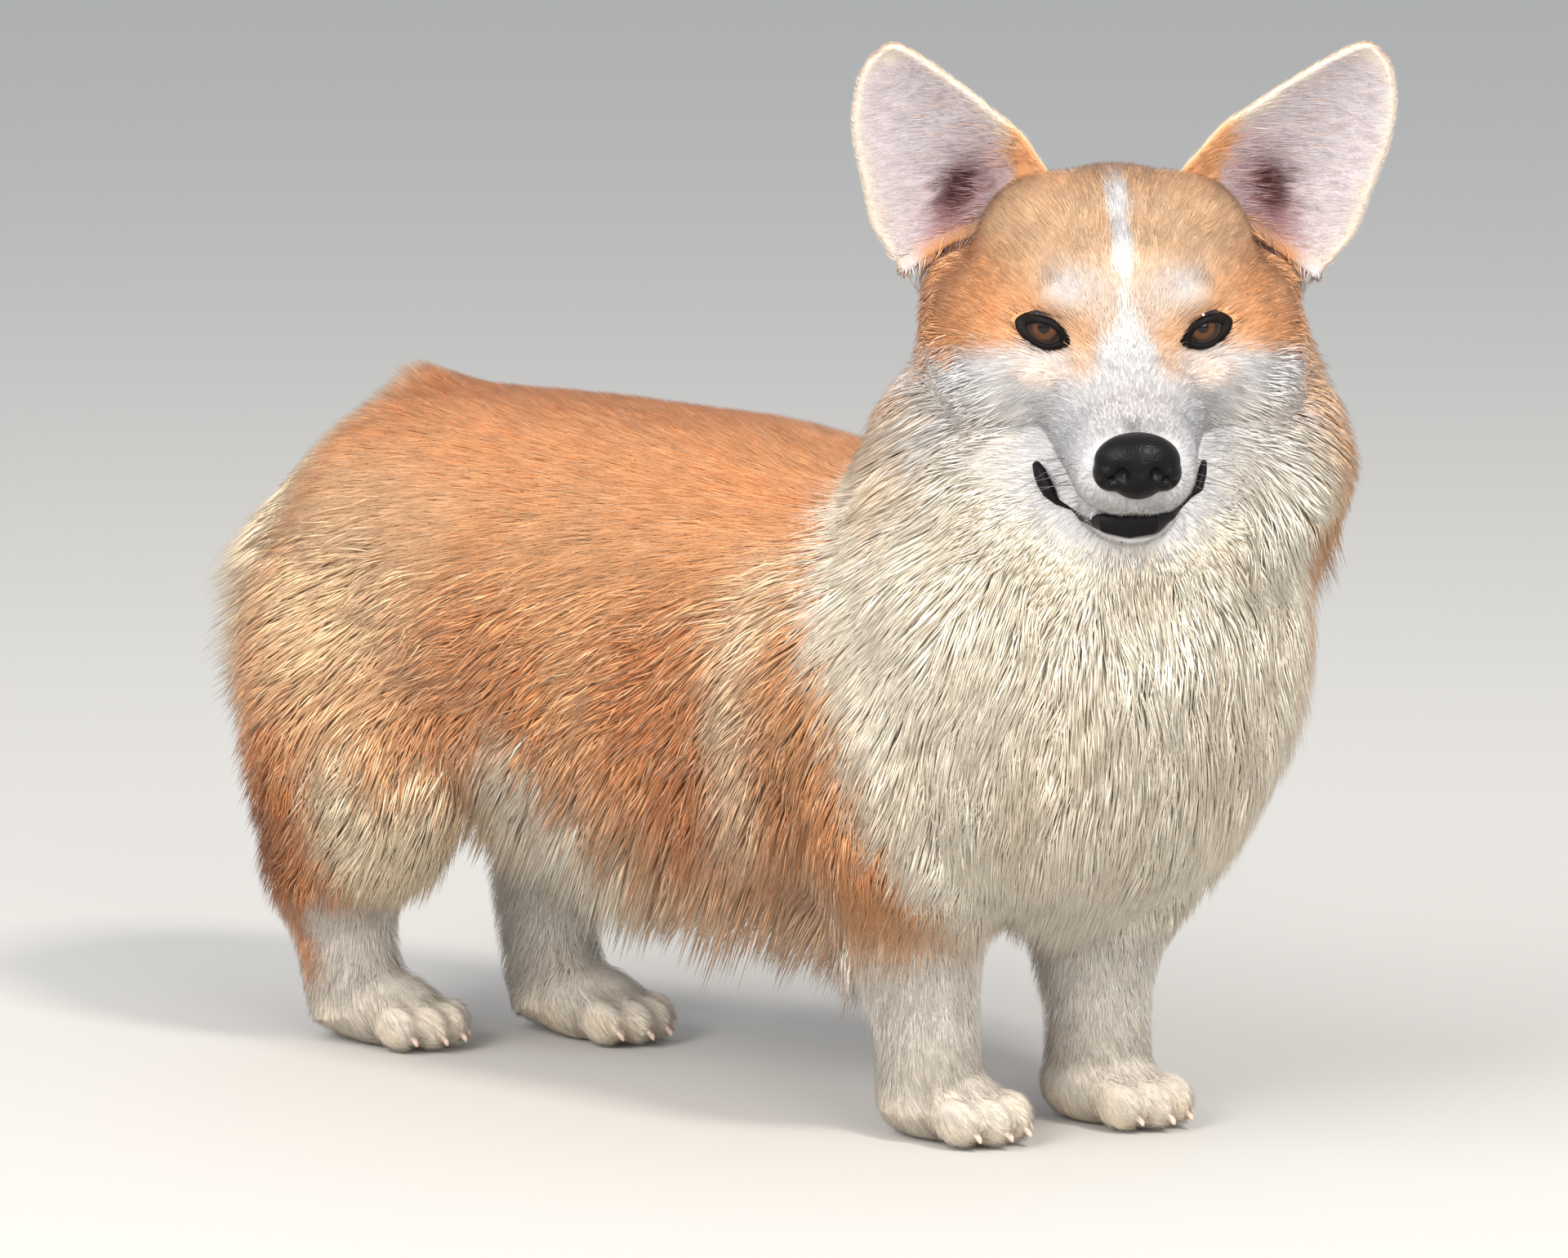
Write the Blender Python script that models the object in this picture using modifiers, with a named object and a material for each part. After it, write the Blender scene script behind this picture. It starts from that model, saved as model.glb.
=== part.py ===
"""A Pembroke Welsh corgi standing on four paws, with its head turned to its right.

Metres, +Z up. The dog faces -Y, its right side is -X, and the floor is z = 0. The solids give the
outer surface of the coat. The body is modelled whole and parted with thin cuts.
"""

import math
import random
from collections import namedtuple

import bmesh
import bpy
from mathutils import Matrix, Vector
from mathutils.bvhtree import BVHTree

# Driving sizes
BACK_TOP = 0.300
RIB_HALF_WIDTH = 0.106
# Between touching nodes, and a little more where one body is parted, so that no two cuts coincide
GAP = 0.0003
PARTING = 0.0004
# From between the four paws to the middle of the box round the whole dog
BOX_CENTRE = Vector((0.0015, -0.0046, 0.0))

# Colours, linear, and roughness
RED_COAT = ((0.52, 0.22, 0.07), 0.8)
WHITE_COAT = ((0.80, 0.74, 0.64), 0.8)
BLACK_SKIN = ((0.012, 0.011, 0.012), 0.35)
EYE_BROWN = ((0.06, 0.022, 0.008), 0.1)
FINISH = {
    "neck": WHITE_COAT,
    "jaw": WHITE_COAT,
    "paw": WHITE_COAT,
    "nose": BLACK_SKIN,
    "eye": EYE_BROWN,
}

# The head's own frame: origin in the middle of the skull, -Y to the nose, +X to the dog's left
HEAD_AT = Vector((-0.0171, -0.2153, 0.382))
HEAD_YAW = math.radians(-46.5)
HEAD_PITCH = math.radians(9.5)
HEAD_TURN = Matrix.Rotation(HEAD_YAW, 4, "Z") @ Matrix.Rotation(HEAD_PITCH, 4, "X")
HEAD_FRAME = Matrix.Translation(HEAD_AT) @ HEAD_TURN

# Trunk sections, rump to chest: y, middle z, half width, height above and depth below the middle
TRUNK = [
    (0.284, 0.200, 0.030, 0.030, 0.035),
    (0.272, 0.205, 0.060, 0.055, 0.062),
    (0.244, 0.212, 0.086, 0.078, 0.082),
    (0.200, 0.215, 0.099, BACK_TOP - 0.208, 0.094),
    (0.140, 0.215, 0.104, BACK_TOP - 0.207, 0.100),
    (0.070, 0.210, 0.104, BACK_TOP - 0.203, 0.103),
    (0.000, 0.205, 0.105, BACK_TOP - 0.201, 0.106),
    (-0.070, 0.200, RIB_HALF_WIDTH, BACK_TOP - 0.205, 0.108),
    (-0.130, 0.195, RIB_HALF_WIDTH, BACK_TOP - 0.200, 0.102),
    (-0.190, 0.190, 0.102, BACK_TOP - 0.205, 0.088),
    (-0.235, 0.188, 0.085, 0.080, 0.070),
    (-0.265, 0.190, 0.055, 0.055, 0.045),
    (-0.280, 0.192, 0.020, 0.020, 0.020),
]

# Neck and ruff as balls: centre, radii
NECK = [
    ((0.000, -0.178, 0.236), (0.102, 0.110, 0.095)),
    ((-0.002, -0.182, 0.270), (0.099, 0.104, 0.080)),
    ((-0.002, -0.172, 0.304), (0.084, 0.090, 0.060)),
]
# The cut between neck and torso, from the withers to the lower chest, as (y, z)
NECK_CUT = ((-0.088, 0.300), (-0.270, 0.165))

# The belly's fringe: y, middle z, half width, half height
APRON = [
    (0.150, 0.142, 0.040, 0.026),
    (0.110, 0.138, 0.058, 0.034),
    (0.043, 0.130, 0.064, 0.036),
    (-0.031, 0.125, 0.064, 0.040),
    (-0.078, 0.124, 0.060, 0.043),
    (-0.115, 0.124, 0.044, 0.042),
    (-0.140, 0.124, 0.020, 0.030),
]

SIDES = {"right": -1.0, "left": 1.0}
UP = Vector((0, 0, 1))

# A tract of locks: the box that holds their roots, the way they lie, how many and how far apart, a lock's
# length and width, how high its tip stands over the core, and how much it hangs free of the core, 0 to 1
Tract = namedtuple("Tract", "low high lie number spacing length width lift free")

RUFF = Tract(
    (-0.13, -0.31, 0.165), (0.13, -0.09, 0.330), (0, 0.50, -1), 50, 0.029, 0.056, 0.034, 0.0095, 0.0
)
RUMP = Tract(
    (-0.03, 0.24, 0.150), (0.03, 0.31, 0.240), (0, 0.50, -1), 5, 0.022, 0.038, 0.026, 0.009, 0.3
)
BELLY = Tract(
    (-0.085, -0.06, 0.080), (0.085, 0.11, 0.125), (0, 0.40, -1), 26, 0.021, 0.046, 0.028, 0.008, 0.8
)
BREECHES_RIGHT = Tract(
    (-0.12, 0.20, 0.085), (0, 0.31, 0.235), (0, 0.60, -1), 13, 0.026, 0.048, 0.032, 0.011, 0.35
)
BREECHES_LEFT = Tract(
    (0, 0.13, 0.085), (0.12, 0.31, 0.235), (0, 0.60, -1), 13, 0.026, 0.048, 0.032, 0.011, 0.35
)
ELBOW_RIGHT = Tract(
    (-0.12, -0.13, 0.085), (0, -0.05, 0.135), (0, 0.50, -1), 5, 0.020, 0.036, 0.026, 0.008, 0.5
)
ELBOW_LEFT = Tract(
    (0, -0.16, 0.085), (0.12, -0.05, 0.135), (0, 0.50, -1), 5, 0.020, 0.036, 0.026, 0.008, 0.5
)
BOB = Tract(
    (-0.03, 0.198, 0.280), (0.03, 0.25, 0.330), (0, 1, 0.3), 5, 0.011, 0.018, 0.014, 0.003, 0.0
)
LOCKS = {
    "neck": [RUFF],
    "torso": [RUMP, BELLY],
    "leg_hind_right": [BREECHES_RIGHT],
    "leg_hind_left": [BREECHES_LEFT],
    "leg_fore_right": [ELBOW_RIGHT],
    "leg_fore_left": [ELBOW_LEFT],
    "tail": [BOB],
}
LOCK_NEIGHBOURS = {
    "neck": ["torso", "leg_fore_right", "leg_fore_left"],
    "torso": ["leg_fore_right", "leg_fore_left", "leg_hind_right", "leg_hind_left"],
}
# A lock's stations: share of its length, height over the core, sunk at the root, and share of its width
LOCK_SHAPE = [(0.0, -0.9, 0.70), (0.28, 0.58, 1.0), (0.66, 0.80, 0.74), (1.0, 1.0, 0.0)]
LOCK_THICKNESS = 0.11
AROUND = [Vector((1, 0, 0)), Vector((-1, 0, 0)), Vector((0, 1, 0)), Vector((0, -1, 0))]
LOCK_ROOT_ROOM = 0.009
HEAD_ROOM = 0.078
LOCK_SEED = 5

# Middles of the paws, fore and hind: the left pair stands further forward
FORE_PAW = {"right": Vector((-0.038, -0.146, 0)), "left": Vector((0.038, -0.175, 0))}
HIND_PAW = {"right": Vector((-0.037, 0.192, 0)), "left": Vector((0.036, 0.130, 0))}

# Legs as stations from the paw's middle: out to the side, back, up, radius across, fore and aft
FORE_LEG = [
    (0.002, 0.012, 0.020, 0.0240, 0.0260),
    (0.003, 0.015, 0.050, 0.0230, 0.0260),
    (0.007, 0.019, 0.080, 0.0290, 0.0340),
    (0.012, 0.018, 0.115, 0.0380, 0.0480),
    (0.022, 0.008, 0.150, 0.0450, 0.0620),
    (0.028, -0.004, 0.195, 0.0420, 0.0620),
    (0.026, -0.010, 0.235, 0.0250, 0.0400),
]
HIND_LEG = [
    (0.002, 0.022, 0.018, 0.0235, 0.027),
    (0.004, 0.031, 0.048, 0.0230, 0.028),
    (0.008, 0.034, 0.072, 0.0290, 0.037),
    (0.014, 0.018, 0.105, 0.0380, 0.055),
    (0.022, 0.001, 0.140, 0.0480, 0.072),
    (0.026, -0.003, 0.180, 0.0490, 0.076),
    (0.024, -0.002, 0.220, 0.0420, 0.066),
    (0.020, 0.000, 0.250, 0.0260, 0.040),
]
# How much further back the hock stands from the paw
HOCK_BACK = {"right": 0.0, "left": 0.010}
# Each leg's share of the body, by like stations from under the floor up
FORE_SHARE = [
    (0.000, 0.010, -0.050, 0.0360, 0.060),
    (0.000, 0.015, 0.060, 0.0360, 0.060),
    (0.010, 0.012, 0.095, 0.0450, 0.068),
    (0.036, 0.005, 0.130, 0.0560, 0.072),
    (0.050, 0.000, 0.165, 0.0600, 0.072),
    (0.056, -0.006, 0.200, 0.0560, 0.062),
    (0.056, -0.010, 0.228, 0.0380, 0.040),
    (0.056, -0.010, 0.240, 0.0150, 0.016),
]
HIND_SHARE = [
    (0.000, 0.030, -0.050, 0.0350, 0.080),
    (0.002, 0.035, 0.055, 0.0350, 0.080),
    (0.010, 0.032, 0.090, 0.0440, 0.088),
    (0.032, 0.018, 0.125, 0.0540, 0.092),
    (0.050, 0.010, 0.165, 0.0600, 0.090),
    (0.056, 0.006, 0.205, 0.0580, 0.080),
    (0.056, 0.004, 0.238, 0.0420, 0.056),
    (0.056, 0.004, 0.254, 0.0160, 0.020),
]
WRIST_TOP = 0.034

# A paw from its middle: pad, then its toes' middles across and ahead, and its claws
PAW_PAD = ((0.0, 0.010, 0.016), (0.0245, 0.032, 0.021))
TOES = [(-0.0175, -0.015), (-0.0062, -0.0235), (0.0062, -0.0235), (0.0175, -0.015)]
TOE_RADII = (0.0082, 0.0150, 0.0125)
TOE_HEIGHT = 0.0115
CLAW = [(0.009, 0.0100, 0.0024), (0.0160, 0.0075, 0.0018), (0.0195, 0.0035, 0.0007)]

# The tail's stations: y, z, radius
TAIL = [(0.176, 0.276, 0.021), (0.192, 0.290, 0.021), (0.206, 0.300, 0.016), (0.218, 0.306, 0.008)]

# Head as balls in its own frame: centre, radii; mirrored where x isn't 0
HEAD_BALLS = [
    ((0.000, 0.012, -0.012), (0.060, 0.064, 0.055)),
    ((0.000, -0.028, -0.008), (0.047, 0.034, 0.035)),
    ((0.046, 0.018, -0.006), (0.042, 0.037, 0.036)),
    ((0.038, 0.000, -0.038), (0.049, 0.054, 0.050)),
    ((0.000, -0.004, -0.058), (0.060, 0.056, 0.042)),
    ((0.023, -0.044, -0.001), (0.016, 0.013, 0.011)),
    ((0.034, -0.046, -0.034), (0.020, 0.018, 0.016)),
]
# Muzzle and jaw as stations down the middle: y, z, radius across, radius up
MUZZLE = [
    (-0.020, -0.044, 0.044, 0.038),
    (-0.055, -0.050, 0.036, 0.031),
    (-0.080, -0.0555, 0.0300, 0.0265),
    (-0.102, -0.0580, 0.0275, 0.0235),
    (-0.115, -0.0585, 0.0240, 0.0200),
    (-0.122, -0.0585, 0.0160, 0.0130),
]
JAW = [
    (-0.010, -0.078, 0.034, 0.017),
    (-0.045, -0.081, 0.030, 0.016),
    (-0.075, -0.0825, 0.0240, 0.0145),
    (-0.098, -0.0830, 0.0190, 0.0120),
    (-0.110, -0.0825, 0.0120, 0.0080),
]
# The lower lip's rim from the middle of the chin back to a corner of the mouth
LIP = [
    (0.0000, -0.1100, -0.0800),
    (0.0120, -0.1050, -0.0795),
    (0.0225, -0.0850, -0.0755),
    (0.0310, -0.0580, -0.0680),
]
LIP_RADIUS = 0.0024
NOSE_BALL = ((0.0, -0.1185, -0.0530), (0.0178, 0.0125, 0.0138))
NOSTRIL = ((0.0085, -0.1290, -0.0540), (0.0036, 0.0050, 0.0030))
EYE_CENTRE = Vector((0.0308, -0.0405, -0.0145))
EYE_RADIUS = 0.0118
# Where the eye looks, and its lids' opening in degrees: to each corner, up and down
EYE_GAZE = Vector((0.30, -0.95, 0.05))
LID_SPAN = 54
LID_RISE = {"upper": 27, "lower": -25}
LID_RADIUS = 0.0019

# An ear in the head's frame: its middle line from root to tip, which leans out more on the left, its
# half width at the root, the share of that on its outer side, and how fast the crown side tapers
EAR_ROOT = Vector((0.0590, 0.020, 0.006))
EAR_TIP = {"right": Vector((0.0970, 0.016, 0.0935)), "left": Vector((0.1080, 0.016, 0.0935))}
EAR_HALF_WIDTH = 0.0454
EAR_OUTER_SHARE = 0.93
EAR_CROWN_TAPER = 0.95
EAR_CUP = 0.016
EAR_THICKNESS = 0.0045


def clear_scene():
    for obj in list(bpy.data.objects):
        bpy.data.objects.remove(obj)


def collection(name):
    made = bpy.data.collections.new(name)
    bpy.context.scene.collection.children.link(made)
    return made


def ball(bm, centre, radii, segments=24):
    place = Matrix.Translation(centre) @ Matrix.Diagonal((*radii, 1.0))
    rows = segments // 2 + 2
    bmesh.ops.create_uvsphere(bm, u_segments=segments, v_segments=rows, radius=1.0, matrix=place)


def ring_edges(bm, ring):
    return [bm.edges.get((a, b)) for a, b in zip(ring, ring[1:] + ring[:1])]


def skin_rings(bm, rings):
    """Walls between neighbouring rings, and end caps; a last ring of no size becomes a point."""
    for a, b in zip(rings, rings[1:]):
        bmesh.ops.bridge_loops(bm, edges=ring_edges(bm, a) + ring_edges(bm, b))
    bmesh.ops.contextual_create(bm, geom=rings[0])
    bmesh.ops.contextual_create(bm, geom=rings[-1])
    bmesh.ops.remove_doubles(bm, verts=rings[-1], dist=1e-6)


def tube(bm, stations, sides=16, level=Vector((1, 0, 0))):
    """A closed tube through stations of (centre, radius along level, other radius)."""
    rings = []
    for i, (centre, across, other) in enumerate(stations):
        before = Vector(stations[max(i - 1, 0)][0])
        after = Vector(stations[min(i + 1, len(stations) - 1)][0])
        way = (after - before).normalized()
        front = way.cross(level).normalized()
        side = front.cross(way).normalized()
        frame = Matrix((side, front, way)).transposed().to_4x4()
        place = Matrix.Translation(centre) @ frame @ Matrix.Diagonal((across, other, 1, 1))
        rings.append(bmesh.ops.create_circle(bm, segments=sides, radius=1.0, matrix=place)["verts"])
    skin_rings(bm, rings)


def trunk(bm):
    """The barrel of the body, from rump to forechest, through its sections."""
    rings = []
    for y, middle, half, up, down in TRUNK:
        place = Matrix.Translation((0, y, middle)) @ Matrix.Rotation(math.pi / 2, 4, "X")
        ring = bmesh.ops.create_circle(bm, segments=28, radius=1.0, matrix=place)["verts"]
        for v in ring:
            high = v.co.z - middle
            v.co.x *= half
            v.co.z = middle + high * (up if high > 0 else down)
        rings.append(ring)
    skin_rings(bm, rings)


def leg_path(paw, side, stations, hock_back=0.0):
    """A leg's stations in place, the hock pushed back from the paw."""
    path = []
    for out, back, up, across, along in stations:
        back += hock_back * max(0.0, 1 - abs(up - 0.05) / 0.08)
        path.append((paw + Vector((side * out, back, up)), across, along))
    return path


def to_object(bm, name, home):
    bmesh.ops.recalc_face_normals(bm, faces=bm.faces)
    bmesh.ops.triangulate(bm, faces=bm.faces)
    mesh = bpy.data.meshes.new(name)
    bm.to_mesh(mesh)
    bm.free()
    obj = bpy.data.objects.new(name, mesh)
    home.objects.link(obj)
    return obj


def apply_modifiers(obj):
    graph = bpy.context.evaluated_depsgraph_get()
    mesh = bpy.data.meshes.new_from_object(obj.evaluated_get(graph))
    obj.modifiers.clear()
    obj.data = mesh
    return obj


def modelled(obj, voxel, smoothing, triangles):
    """Overlapping forms become one closed, smooth surface of about so many triangles."""
    remesh = obj.modifiers.new("Remesh", "REMESH")
    remesh.mode = "VOXEL"
    remesh.voxel_size = voxel
    smooth = obj.modifiers.new("Smooth", "SMOOTH")
    smooth.factor = 0.5
    smooth.iterations = smoothing
    apply_modifiers(obj)
    return thinned(obj, triangles)


def thinned(obj, triangles):
    obj.modifiers.new("Triangulate", "TRIANGULATE")
    apply_modifiers(obj)
    decimate = obj.modifiers.new("Decimate", "DECIMATE")
    decimate.ratio = min(1.0, triangles / len(obj.data.polygons))
    return apply_modifiers(obj)


def copied(obj, name, home, swell=0.0):
    """A copy of the object, swollen along its normals."""
    made = obj.copy()
    made.data = obj.data.copy()
    made.name = name
    home.objects.link(made)
    if swell:
        places = [v.co + v.normal * swell for v in made.data.vertices]
        for v, place in zip(made.data.vertices, places):
            v.co = place
    return made


def boolean(obj, operation, other, spend=False):
    """Joins, cuts or crops a closed mesh by another object or a collection's, which is removed if spent."""
    modifier = obj.modifiers.new("Boolean", "BOOLEAN")
    modifier.operation = operation
    modifier.solver = "MANIFOLD"
    many = isinstance(other, bpy.types.Collection)
    if many:
        modifier.operand_type = "COLLECTION"
        modifier.collection = other
    else:
        modifier.object = other
    apply_modifiers(obj)
    if spend:
        for used in list(other.objects) if many else [other]:
            bpy.data.objects.remove(used)
        if many:
            bpy.data.collections.remove(other)
    return keep_largest(obj)


def keep_largest(obj):
    """Drops loose scraps, and fills sealed hollows, by keeping the closed surface that holds most."""
    bm = bmesh.new()
    bm.from_mesh(obj.data)
    bmesh.ops.remove_doubles(bm, verts=bm.verts, dist=1e-7)
    left = set(bm.verts)
    islands = []
    while left:
        island = [left.pop()]
        for v in island:
            near = {e.other_vert(v) for e in v.link_edges} & left
            left -= near
            island.extend(near)
        islands.append(island)
    islands.sort(key=lambda island: (-len(island), island[0].index))
    if len(islands) > 1:
        bmesh.ops.delete(bm, geom=[v for island in islands[1:] for v in island], context="VERTS")
    bmesh.ops.triangulate(bm, faces=bm.faces)
    bm.to_mesh(obj.data)
    bm.free()
    return obj


def slab(name, home, corner, size):
    """A box by its lowest corner and its size."""
    bm = bmesh.new()
    place = Matrix.Translation(Vector(corner) + Vector(size) / 2) @ Matrix.Diagonal((*size, 1))
    bmesh.ops.create_cube(bm, size=1.0, matrix=place)
    return to_object(bm, name, home)


def paint(obj, finish):
    colour, roughness = finish
    material = bpy.data.materials.new(obj.name)
    material.use_nodes = True
    shader = material.node_tree.nodes["Principled BSDF"]
    shader.inputs["Base Color"].default_value = (*colour, 1)
    shader.inputs["Roughness"].default_value = roughness
    material.diffuse_color = (*colour, 1)
    obj.data.materials.clear()
    obj.data.materials.append(material)
    obj.data.shade_smooth()
    return obj


def mirrored_balls(bm, balls, segments=24):
    """Each ball, and its twin on the other side where it isn't in the middle."""
    for centre, radii in balls:
        ball(bm, centre, radii, segments)
        if abs(centre[0]) > 0.005:
            ball(bm, mirrored(centre, -1), radii, segments)


def level_path(stations):
    return [(Vector((0, y, z)), across, up) for y, z, across, up in stations]


def round_path(points, radius):
    return [(Vector(p), radius, radius) for p in points]


def lid_path(side, rise):
    """Along the edge of a lid, from the inner to the outer corner, on a ball just over the eye."""
    centre = mirrored(EYE_CENTRE, side)
    ahead = mirrored(EYE_GAZE, side).normalized()
    across = ahead.cross(UP).normalized() * -side
    up = UP - ahead * ahead.z
    path = []
    for i in range(7):
        turn = math.radians(LID_SPAN * (i / 3 - 1))
        lift = math.radians(rise * (1 - (i / 3 - 1) ** 2))
        level = (ahead * math.cos(turn) + across * math.sin(turn)) * math.cos(lift)
        path.append(centre + (level + up * math.sin(lift)) * EYE_RADIUS * 1.08)
    return path


def mirrored(point, side):
    return Vector((side * point[0], point[1], point[2]))


def make_eye(name, side, home):
    bm = bmesh.new()
    place = Matrix.Translation(mirrored(EYE_CENTRE, side))
    bmesh.ops.create_uvsphere(bm, u_segments=12, v_segments=7, radius=EYE_RADIUS, matrix=place)
    return to_object(bm, f"eye_{name}", home)


def make_nose(home):
    bm = bmesh.new()
    ball(bm, *NOSE_BALL)
    nose = thinned(to_object(bm, "nose", home), 170)
    bm = bmesh.new()
    mirrored_balls(bm, [NOSTRIL], 8)
    return boolean(nose, "DIFFERENCE", to_object(bm, "nostrils", home), spend=True)


def make_jaw(home):
    bm = bmesh.new()
    tube(bm, level_path(JAW), 16)
    jaw = modelled(to_object(bm, "jaw", home), 0.0022, 3, 180)
    rim = [mirrored(p, -1) for p in reversed(LIP[1:])] + [Vector(p) for p in LIP]
    bm = bmesh.new()
    tube(bm, round_path(rim, LIP_RADIUS), 6, UP)
    return boolean(jaw, "UNION", to_object(bm, "lip", home), spend=True)


def make_head(home):
    bm = bmesh.new()
    mirrored_balls(bm, HEAD_BALLS)
    tube(bm, level_path(MUZZLE), 20)
    head = modelled(to_object(bm, "head", home), 0.0022, 16, 820)
    lids = collection("lids")
    for side in SIDES.values():
        for rise in LID_RISE.values():
            bm = bmesh.new()
            tube(bm, round_path(lid_path(side, rise), LID_RADIUS), 6, UP)
            to_object(bm, "lid", lids)
    return boolean(head, "UNION", lids, spend=True)


def make_ear(name, side, home):
    """A cupped blade: a grid bent to the ear's outline, open to the front, and given its thickness."""
    bm = bmesh.new()
    bmesh.ops.create_grid(bm, x_segments=8, y_segments=10, size=1.0)
    along = EAR_TIP[name] - EAR_ROOT
    across = Vector((along.z, 0, -along.x)).normalized()
    for v in bm.verts:
        u = v.co.x
        t = (v.co.y + 1) / 2
        rounding = math.sqrt(max(0.0, 1 - max(0.0, (t - 0.60) / 0.40) ** 2.2))
        root = 1 - 0.22 * max(0.0, 1 - t / 0.25) if u > 0 else 1.0
        edge = EAR_OUTER_SHARE if u > 0 else 1 - EAR_CROWN_TAPER * max(0.0, t - 0.40)
        width = EAR_HALF_WIDTH * (1 - 0.45 * t) * rounding * root * edge
        cup = EAR_CUP * (1 - t) ** 0.6 * (1 - u * u)
        v.co = mirrored(EAR_ROOT + along * t + across * (u * width) + Vector((0, cup, 0)), side)
    bmesh.ops.remove_doubles(bm, verts=bm.verts, dist=0.0008)
    ear = to_object(bm, f"ear_{name}", home)
    solidify = ear.modifiers.new("Solidify", "SOLIDIFY")
    solidify.thickness = EAR_THICKNESS
    solidify.offset = 0
    apply_modifiers(ear)
    return modelled(ear, 0.0012, 4, 260)


def make_paw(name, middle, leg_path, home):
    """Pad, toes, four claws and the foot of the leg, cut off level at the wrist and the floor."""
    bm = bmesh.new()
    centre, radii = PAW_PAD
    ball(bm, middle + Vector(centre), radii)
    for across, ahead in TOES:
        ball(bm, middle + Vector((across, ahead, TOE_HEIGHT)), TOE_RADII)
    tube(bm, leg_path[:2])
    paw = modelled(to_object(bm, name, home), 0.002, 4, 180)
    claws = collection("claws")
    for across, ahead in TOES:
        bm = bmesh.new()
        path = [(middle + Vector((across, ahead - out, up)), r, r) for out, up, r in CLAW]
        tube(bm, path, 4)
        to_object(bm, "claw", claws)
    boolean(paw, "UNION", claws, spend=True)
    room = slab("room", home, (-0.2, -0.4, 0.0), (0.4, 0.8, WRIST_TOP - GAP))
    return boolean(paw, "INTERSECT", room, spend=True)


def search_tree(obj):
    mesh = obj.data
    return BVHTree.FromPolygons([v.co for v in mesh.vertices], [f.vertices for f in mesh.polygons])


def lock_roots(obj, skin, tract, rng):
    """Points spread evenly over the object's own share of the skin, clear of its cuts and of the head."""
    own = search_tree(obj)
    corners = [v.co for v in obj.data.vertices]
    faces = [f for f in obj.data.polygons if inside(f.center, tract.low, tract.high)]
    roots = []
    for face in rng.choices(faces, [f.area for f in faces], k=tract.number * 60):
        a, b, c = (corners[i] for i in face.vertices)
        u, v = sorted((rng.random(), rng.random()))
        point = a * u + b * (v - u) + c * (1 - v)
        around = [point + way * LOCK_ROOT_ROOM for way in AROUND]
        on_skin = skin.find_nearest(point)[3] < GAP
        off_cuts = all(own.find_nearest(skin.find_nearest(p)[0])[3] < 2 * GAP for p in around)
        off_head = (point - HEAD_AT).length > HEAD_ROOM
        apart = all((point - other).length > tract.spacing for other in roots)
        if on_skin and off_cuts and off_head and apart:
            roots.append(point)
        if len(roots) == tract.number:
            break
    return roots


def inside(point, low, high):
    return all(a <= c <= b for a, c, b in zip(low, point, high))


def make_lock(skin, root, lie, tract, size, home):
    """A flat, tapered lock, its root sunk in the core, that bends along the lie and lifts to its tip."""
    start, normal, _, _ = skin.find_nearest(root)
    way = (lie - normal * lie.dot(normal)).normalized()
    across = normal.cross(way)
    path = []
    for along, lift, wide in LOCK_SHAPE:
        reach = tract.length * size * along
        near, out, _, _ = skin.find_nearest(start + way * reach)
        laid = near + out * tract.lift * lift
        hung = start + normal * tract.lift * lift + lie.normalized() * reach
        half = tract.width * size * wide / 2
        path.append((laid.lerp(hung, tract.free), half, half * LOCK_THICKNESS))
    bm = bmesh.new()
    tube(bm, path, 4, across)
    return to_object(bm, "lock", home)


def grow_locks(obj, skin, neighbours, rng):
    """Fuses the object's locks into it, each varied a little, and trims them off its neighbours."""
    locks = collection("locks")
    for tract in LOCKS[obj.name]:
        for root in lock_roots(obj, skin, tract, rng):
            stray = Vector((rng.gauss(0, 0.15), rng.gauss(0, 0.15), 0))
            size = rng.uniform(0.85, 1.15)
            make_lock(skin, root, Vector(tract.lie) + stray, tract, size, locks)
    boolean(obj, "UNION", locks, spend=True)
    clear_of(obj, neighbours)


def make_tail(home):
    bm = bmesh.new()
    tube(bm, [(Vector((0, y, z)), r, r) for y, z, r in TAIL], 12)
    return modelled(to_object(bm, "tail", home), 0.003, 3, 130)


def part_off(rest, name, zone, home):
    """Cuts the zone's share off the rest, which stays clear of it, and spends the zone."""
    piece = copied(rest, name, home)
    boolean(piece, "INTERSECT", zone)
    boolean(rest, "DIFFERENCE", copied(zone, "swollen", home, PARTING), spend=True)
    bpy.data.objects.remove(zone)
    return piece


def clear_of(obj, others, gap=GAP):
    """Cuts room for the others, with the gap round them."""
    for other in others:
        swollen = copied(other, "swollen", other.users_collection[0], gap)
        boolean(obj, "DIFFERENCE", swollen, spend=True)


def neck_zone(home):
    """All that lies ahead of and above the neck's slanting cut."""
    (y, z), (low_y, low_z) = NECK_CUT
    slope = math.atan2(z - low_z, y - low_y)
    bm = bmesh.new()
    place = Matrix.Translation((0, y, z)) @ Matrix.Rotation(slope, 4, "X")
    place @= Matrix.Translation((0, -0.1, 0.3)) @ Matrix.Diagonal((0.6, 1.0, 0.6, 1))
    bmesh.ops.create_cube(bm, size=1.0, matrix=place)
    return to_object(bm, "neck_zone", home)


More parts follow.
